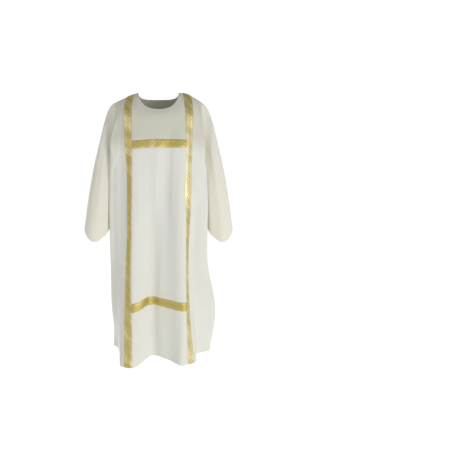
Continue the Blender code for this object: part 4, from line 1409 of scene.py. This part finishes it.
# %% The two clavi
def clavus_cloth(side):
    """The cloth under a clavus, from the front hem up, over the shoulder and down to the back hem. Right at the
    shoulder seam the strip stays as high as beside it, so that the ribbon bridges the seam's valley."""
    parts = []
    for panel in PANELS:
        right_side, right_band = COLUMNS[panel][:2]
        start = right_side if side == "right" else right_side + right_band + 2 * len(NECKLINE[panel]) * SPLIT
        part = (slice(None), slice(start, start + right_band + 1))
        parts.append(np.stack([points[panel][part], normals[panel][part]]))
    strip = np.concatenate([parts[0][:, ::-1], parts[1][:, 1:]], axis=1)
    seam = len(HEIGHTS) + ROWS_OVER_CHEST - 1
    strip[0, seam, :, 1] = 0.0
    near = slice(seam - 2, seam + 3)
    strip[0, near, :, 2] = np.maximum(strip[0, near, :, 2], strip[0, seam - 3, :, 2])
    return strip


bands = {
    side: band(f"clavus_{side}_galloon", *clavus_cloth(side), node=f"clavus_{side}", seed=seed)
    for seed, side in enumerate(SIDES)
}

# %% The cross bands
CROSS_BANDS = (
    # name, panel, height of its upper edge
    ("cross_band_front_chest", "front", -235.0),
    ("cross_band_front_knee", "front", -948.0),
    ("cross_band_back_chest", "back", -279.0),
)


def cross_cloth(panel, top):
    """The cloth under a cross band, turned so that its rows run across the garment."""
    start = sum(COLUMNS[panel][:2])
    rows_at = np.interp(np.linspace(-top, -top + BAND_WIDTH, 9), -HEIGHTS, np.arange(len(HEIGHTS)))
    columns_at = start + np.arange(2 * len(NECKLINE[panel]) * SPLIT + 1)
    strip = [resample(a[panel], ROWS_OVER_CHEST + rows_at, columns_at) for a in (points, normals)]
    return [np.moveaxis(part, 0, 1) for part in strip]


for seed, (name, panel, top) in enumerate(CROSS_BANDS, 10):
    grid, out = cross_cloth(panel, top)
    grid[0] += unit(grid[1] - grid[0]) * SEAM_GAP
    grid[-1] += unit(grid[-2] - grid[-1]) * SEAM_GAP
    bands[name] = band(f"{name}_galloon", grid, out, node=name, seed=seed)

# %% [markdown]
# ## Neck facings
# The neckline is finished with two shaped facings, sewn right side to right side and turned in. They hang
# inside the cloth, and their lower edge is a rounded arch from shoulder seam to shoulder seam.

# %% Facings
FACING_ROWS = 26
FACING_STARTS = 0.05  # share of its depth at which a facing begins, inside the neck's turned edge
FACING_EASE = 1.6  # how far its lower edge hangs clear of the cloth
SEARCHED = np.linspace(0, 60, 481)  # rows of the panel in which a facing's edge is looked for


def neck_facing(panel):
    """Each column follows the cloth from the neck down to where the facing's reach becomes 1."""
    start, stop = neck_columns(panel)
    columns_at = np.arange(start - SPLIT, stop + SPLIT + 1)
    fine, over = (resample(a[panel], SEARCHED, columns_at) for a in (points, normals))
    ends = SEARCHED[np.argmax(facing_reach(panel, fine) > 1.0, axis=0)]
    rows_at = np.linspace(FACING_STARTS, 1.0, FACING_ROWS)[:, None] * ends
    spots = [
        [np.interp(rows_at[:, c], SEARCHED, layer[:, c, k]) for k in range(3)]
        for layer in (fine, over) for c in range(len(columns_at))
    ]  # fmt: skip
    face, out = np.reshape(spots, (2, len(columns_at), 3, FACING_ROWS)).transpose(0, 3, 1, 2)
    out = unit(out)
    eased = np.linspace(2 * SEAM_GAP, FACING_EASE, FACING_ROWS)[:, None, None]
    outer = face - out * (CLOTH + SEAM_GAP + eased)
    inner = outer - out * FACING
    name = f"neck_facing_{panel}"
    made = shell(name + "_cloth", outer, inner, out, facing_cloth, cloth_place(outer), node=name)
    return made, outer


facings = {panel: neck_facing(panel) for panel in PANELS}

# %% [markdown]
# ## Stitches
# Both edges of every band are sewn down by machine, and so are the hems, slits and cuffs. A stitch is a small
# bead of thread that dips into the cloth at both ends, and one array operation lays a whole row of them.

# %% Thread
DARKER = 0.82  # the thread's darker tone, as a share of its colour
TWIST = 300.0  # grains to a metre of the change from tone to tone


def thread_finish(name, colour):
    """The thread's colour with a darker one of the same hue, mixed by fine noise."""
    finish = Finish(name, Roughness=0.6, Sheen_Weight=0.3)
    place = finish.node("ShaderNodeTexCoord", out="Object")
    darker = [DARKER * c for c in colour[:3]] + [1]
    finish.feed(Base_Color=finish.mix(finish.noise(place, TWIST), colour, darker))
    return finish.material


gold_thread = thread_finish("gold_thread", (0.62, 0.50, 0.22, 1))
cream_thread = thread_finish("cream_thread", (0.78, 0.76, 0.67, 1))
print("threads:", gold_thread.name, cream_thread.name)

# %% One stitch
PITCH, LENGTH = 3.4, 2.7  # from stitch to stitch, and of one stitch
ROUND = 5  # points round a thread
THREAD_RINGS = ((-0.8, 0.7, 0.0), (0.0, 1.0, 0.3), (0.8, 0.7, 0.0))  # along in half lengths, girth, rise in widths
RING_DIP, TIP_DIP = -0.05, -0.2  # how far the end rings and the tips dip into the cloth


def bead(width):
    """One stitch: two tips and three rings between them, and the triangles that join them."""
    turn = np.arange(ROUND) * 2 * np.pi / ROUND
    rings = []
    for at, girth, rise in THREAD_RINGS:
        radius, up = girth * width / 2, rise * width if rise else RING_DIP
        ring = [np.full(ROUND, at * LENGTH / 2), radius * np.cos(turn), radius * np.sin(turn) + up]
        rings.append(np.column_stack(ring))
    tips = [np.array([[at * LENGTH / 2, 0.0, TIP_DIP]]) for at in (-1.0, 1.0)]
    verts = np.vstack([tips[0], *rings, tips[1]])

    k = np.arange(ROUND)
    after, last = (k + 1) % ROUND, len(verts) - 1
    cap = np.stack([0 * k, 1 + after, 1 + k], -1)
    end = np.stack([0 * k + last, last - ROUND + k, last - ROUND + after], -1)
    tube = [b + np.stack([k, after, ROUND + after, ROUND + k], -1) for b in (1, 1 + ROUND)]
    halves = [q[:, half] for half in ([0, 1, 2], [0, 2, 3]) for q in tube]
    return verts, np.concatenate([cap, end, *halves])


print("points and triangles of a stitch:", [len(part) for part in bead(1.0)])

# %% A row of stitches
def stitch_row(line, out, width):
    """A bead at every pitch along a line, set on its own axes: the line's direction, their cross product and
    the way out of the cloth."""
    along = lengths_along(line)
    middles = np.arange(PITCH, along[-1] - PITCH / 2, PITCH)

    def read(rows, at):
        """The rows between their own points: straight lines in x, y and z."""
        return np.stack([np.interp(at, along, rows[:, k]) for k in range(3)], -1)

    here, up = read(line, middles), unit(read(out, middles))
    ahead = unit(read(line, middles + LENGTH / 2) - read(line, middles - LENGTH / 2))
    shape, triangles = bead(width)
    verts = here[:, None] + shape @ np.stack([ahead, np.cross(ahead, up), up], 1)
    faces = triangles[None] + (np.arange(len(here)) * len(shape))[:, None, None]
    return verts.reshape(-1, 3), faces.reshape(-1, 3)


def stitching(name, rows, finish, width):
    """Several rows of stitches as one piece, in thread of this width."""
    verts, faces, count = [], [], 0
    for line, out in rows:
        row_verts, row_faces = stitch_row(line, out, width)
        verts.append(row_verts)
        faces.append(row_faces + count)
        count += len(row_verts)
    piece = add_piece(name, np.concatenate(verts) * MM, np.concatenate(faces), finish)
    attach(piece, "root")
    print(f"{name}: {count // len(bead(width)[0])} stitches")
    return piece


print("stitches in 100 mm:", int(100 // PITCH))

# %% Stitches on the bands
BAND_THREAD = 0.5
SUNK = 0.1  # a stitch draws itself this far into the galloon
band_stitches = {}
for key, (made, outer, up, _) in bands.items():
    rows = [(outer[:, c] - up[:, c] * SUNK, up[:, c]) for c in (1, -2)]
    band_stitches[key] = stitching(made.name.replace("galloon", "stitching"), rows, gold_thread, BAND_THREAD)

# %% Stitches on the hems
HEM_THREAD = 0.4
SLIT_COLUMNS = (5, -6)  # the columns along which the slits' hems are sewn


def sewn_row(place, depth):
    """The row that lies this far above the cloth's lower edge."""
    return int(np.argmin(np.abs(place[-1, 0, 1] - place[:, 0, 1] - depth)))


hem_stitches = {}
for panel in PANELS:
    grid, out = points[panel], normals[panel]
    row = sewn_row(cloth_place(grid), HEM_DEPTH)
    start, stop = neck_columns(panel)
    slits = [(slice(SLIT_ROW + 2, row), edge) for edge in SLIT_COLUMNS]
    lines = [(row, slice(None)), *slits, (1, slice(start, stop))]
    rows = [(grid[line], out[line]) for line in lines]
    hem_stitches[panel] = stitching(f"{panel}_hem_stitching", rows, cream_thread, HEM_THREAD)
for side in SIDES:
    row = sewn_row(cloth_place(points[side], ring=True), CUFF_HEM)
    closed = [closed_round(a[side])[row] for a in (points, normals)]
    hem_stitches[side] = stitching(f"sleeve_{side}_cuff_stitching", [closed], cream_thread, HEM_THREAD)

# %% [markdown]
# ## The flat cut
# What hangs was cut flat. A woven cloth hardly stretches, so the running sums over the surface give the size
# of the flat pieces: the longest row and the longest column, and the area for a cut that is no rectangle.

# %% Flat sizes
def flat_size(grid, ring=False):
    """Width, length and area of the cut, in metres: longest row, longest column and the sum of the cells."""
    wide = closed_round(grid) if ring else grid
    width = lengths_along(np.moveaxis(wide, 1, 0))[-1].max()
    length = lengths_along(wide)[-1].max()
    cells = np.linalg.norm(np.cross(wide[1:, 1:] - wide[:-1, :-1], wide[1:, :-1] - wide[:-1, 1:]), axis=-1) / 2
    return (width * MM, length * MM), cells.sum() * MM * MM


def state_sheet(piece, grid, flat=None, ring=False, **facts):
    """Works out a piece's flat size, the one given or else its longest row and column, and prints the size."""
    longest, area = flat_size(grid, ring)
    flat = flat or longest
    area = min(area, flat[0] * flat[1])
    print(f"{piece.name}: {flat[0]:.3f} by {flat[1]:.3f} m, {area:.3f} m2")


for panel, other in (("front", "back"), ("back", "front")):
    state_sheet(
        sheets[panel], points[panel], held="hung", rests_on=[sheets[other]],
        with_pieces=[hem_stitches[panel]],
    )  # fmt: skip
    made, grid = facings[panel]
    wide, deep, high = np.ptp(grid, axis=(0, 1)) * MM
    state_sheet(made, grid, (wide, np.hypot(deep, high)), held="hung")
for side in SIDES:
    state_sheet(
        sheets[side], points[side], ring=True, held="hung", rests_on=[sheets["front"], sheets["back"]],
        with_pieces=[hem_stitches[side]],
    )  # fmt: skip
for key, (made, outer, _, flat) in bands.items():
    under = [sheets[panel] for panel in PANELS if panel in key or key in SIDES]
    state_sheet(made, outer, flat, held="laid", rests_on=under, with_pieces=[band_stitches[key]])

# %% [markdown]
# ## Floor, light and camera
# A pale floor and a white dome stand for the studio. They glow for the camera alone, as an overexposed backdrop
# does. The light on the garment comes from a grey sky, which is brighter below and towards two opposite corners
# of the room, and from four large soft boxes: a strong and a weak one for the front, and the same for the back.

# %% Sky
# Where a direction's z goes from the first number to the second, the sky's strength goes from the third to the
# fourth, and the same again for x times y, which differs from corner to corner.
BY_HEIGHT = (-0.6, 0.8, 0.80, 0.28)
BY_CORNER = (-0.5, 0.5, 1.14, 0.86)
scene = bpy.context.scene
scene.view_settings.view_transform = "Standard"
scene.view_settings.look = "None"
scene.world = bpy.data.worlds.new("studio_sky")
scene.world.use_nodes = True
sky = Nodes(scene.world.node_tree)
x, y, z = sky.parts(sky.node("ShaderNodeTexCoord", out="Generated"))
glow = z.ramp(*BY_HEIGHT) * (x * y).ramp(*BY_CORNER)
background = sky.tree.nodes["Background"]
sky.join(background.inputs["Strength"], glow)
sky.join(background.inputs["Color"], (1.0, 1.0, 1.0, 1))
print("sky nodes:", len(sky.tree.nodes))

# %% Floor and dome
FLOOR_REACH, FLOOR_HEIGHT, DOME_REACH = 40.0, -1.52, 45.0
GLOW = 1.05
SPOKES, FLOOR_RINGS, DOME_RINGS = 64, 12, 24


def studio_surface(name, reach, height):
    """A round backdrop: every row of its profile is a circle of this reach at this height."""
    turn = np.linspace(0, 2 * np.pi, SPOKES, endpoint=False)
    reach, height = reach[:, None], height[:, None]
    verts = np.stack([reach * np.cos(turn), reach * np.sin(turn), height + 0 * turn], -1).reshape(-1, 3)
    finish = Finish(name, Base_Color=(0, 0, 0, 1), Roughness=0.9, Emission_Color=(1, 1, 1, 1), Emission_Strength=GLOW)
    made = add_piece(name, verts, quads(closed_round(np.arange(len(verts)).reshape(-1, SPOKES))), finish.material)
    for ray in ("diffuse", "glossy", "transmission", "volume_scatter", "shadow"):
        setattr(made, "visible_" + ray, False)
    print(f"{name}: {len(made.data.polygons)} faces")


floor_rings = np.geomspace(0.001, 1, FLOOR_RINGS) * FLOOR_REACH
studio_surface("studio_floor", floor_rings, np.full(FLOOR_RINGS, FLOOR_HEIGHT))
tilt = np.linspace(-np.pi / 2, np.pi / 2, DOME_RINGS)
studio_surface("studio_dome", np.cos(tilt) * DOME_REACH, np.sin(tilt) * DOME_REACH)

# %% Soft boxes
BOX_SIZE = 1.2, 2.2
BOX_AIM = Vector((0, 0, -0.7))
for name, place, power in (
    ("key_box", (2.2, -2.7, -0.7), 40.0),
    ("fill_box", (-2.6, -2.2, 0.0), 13.0),
    ("back_key_box", (-1.7, 3.0, -0.7), 42.0),
    ("back_fill_box", (2.6, 2.2, -0.7), 12.0),
):
    light = bpy.data.lights.new(name, "AREA")
    light.shape, light.size, light.size_y, light.energy = "RECTANGLE", *BOX_SIZE, power
    made = bpy.data.objects.new(name, light)
    made.location = place
    made.rotation_euler = (BOX_AIM - made.location).to_track_quat("-Z", "Y").to_euler()
    made.visible_camera = False
    scene.collection.objects.link(made)
    print(f"{name}: {power} W from", place)

# %% Camera
EYE = (0.0, -2.2, -0.50)
SENSOR = 36.0
LENS_SHARE = 464 / 458  # the lens's length as a share of the sensor's width
SHIFT = 0.1539, -0.0666  # leaves the garment left of the middle, and a little higher
camera = bpy.data.cameras.new("camera")
eye = bpy.data.objects.new("camera", camera)
scene.collection.objects.link(eye)
scene.camera = eye
eye.location = EYE
eye.rotation_euler = (np.pi / 2, 0.0, 0.0)
camera.sensor_width = SENSOR
camera.lens = SENSOR * LENS_SHARE
camera.shift_x, camera.shift_y = SHIFT
print("camera looks along +Y from", EYE)

# %% [markdown]
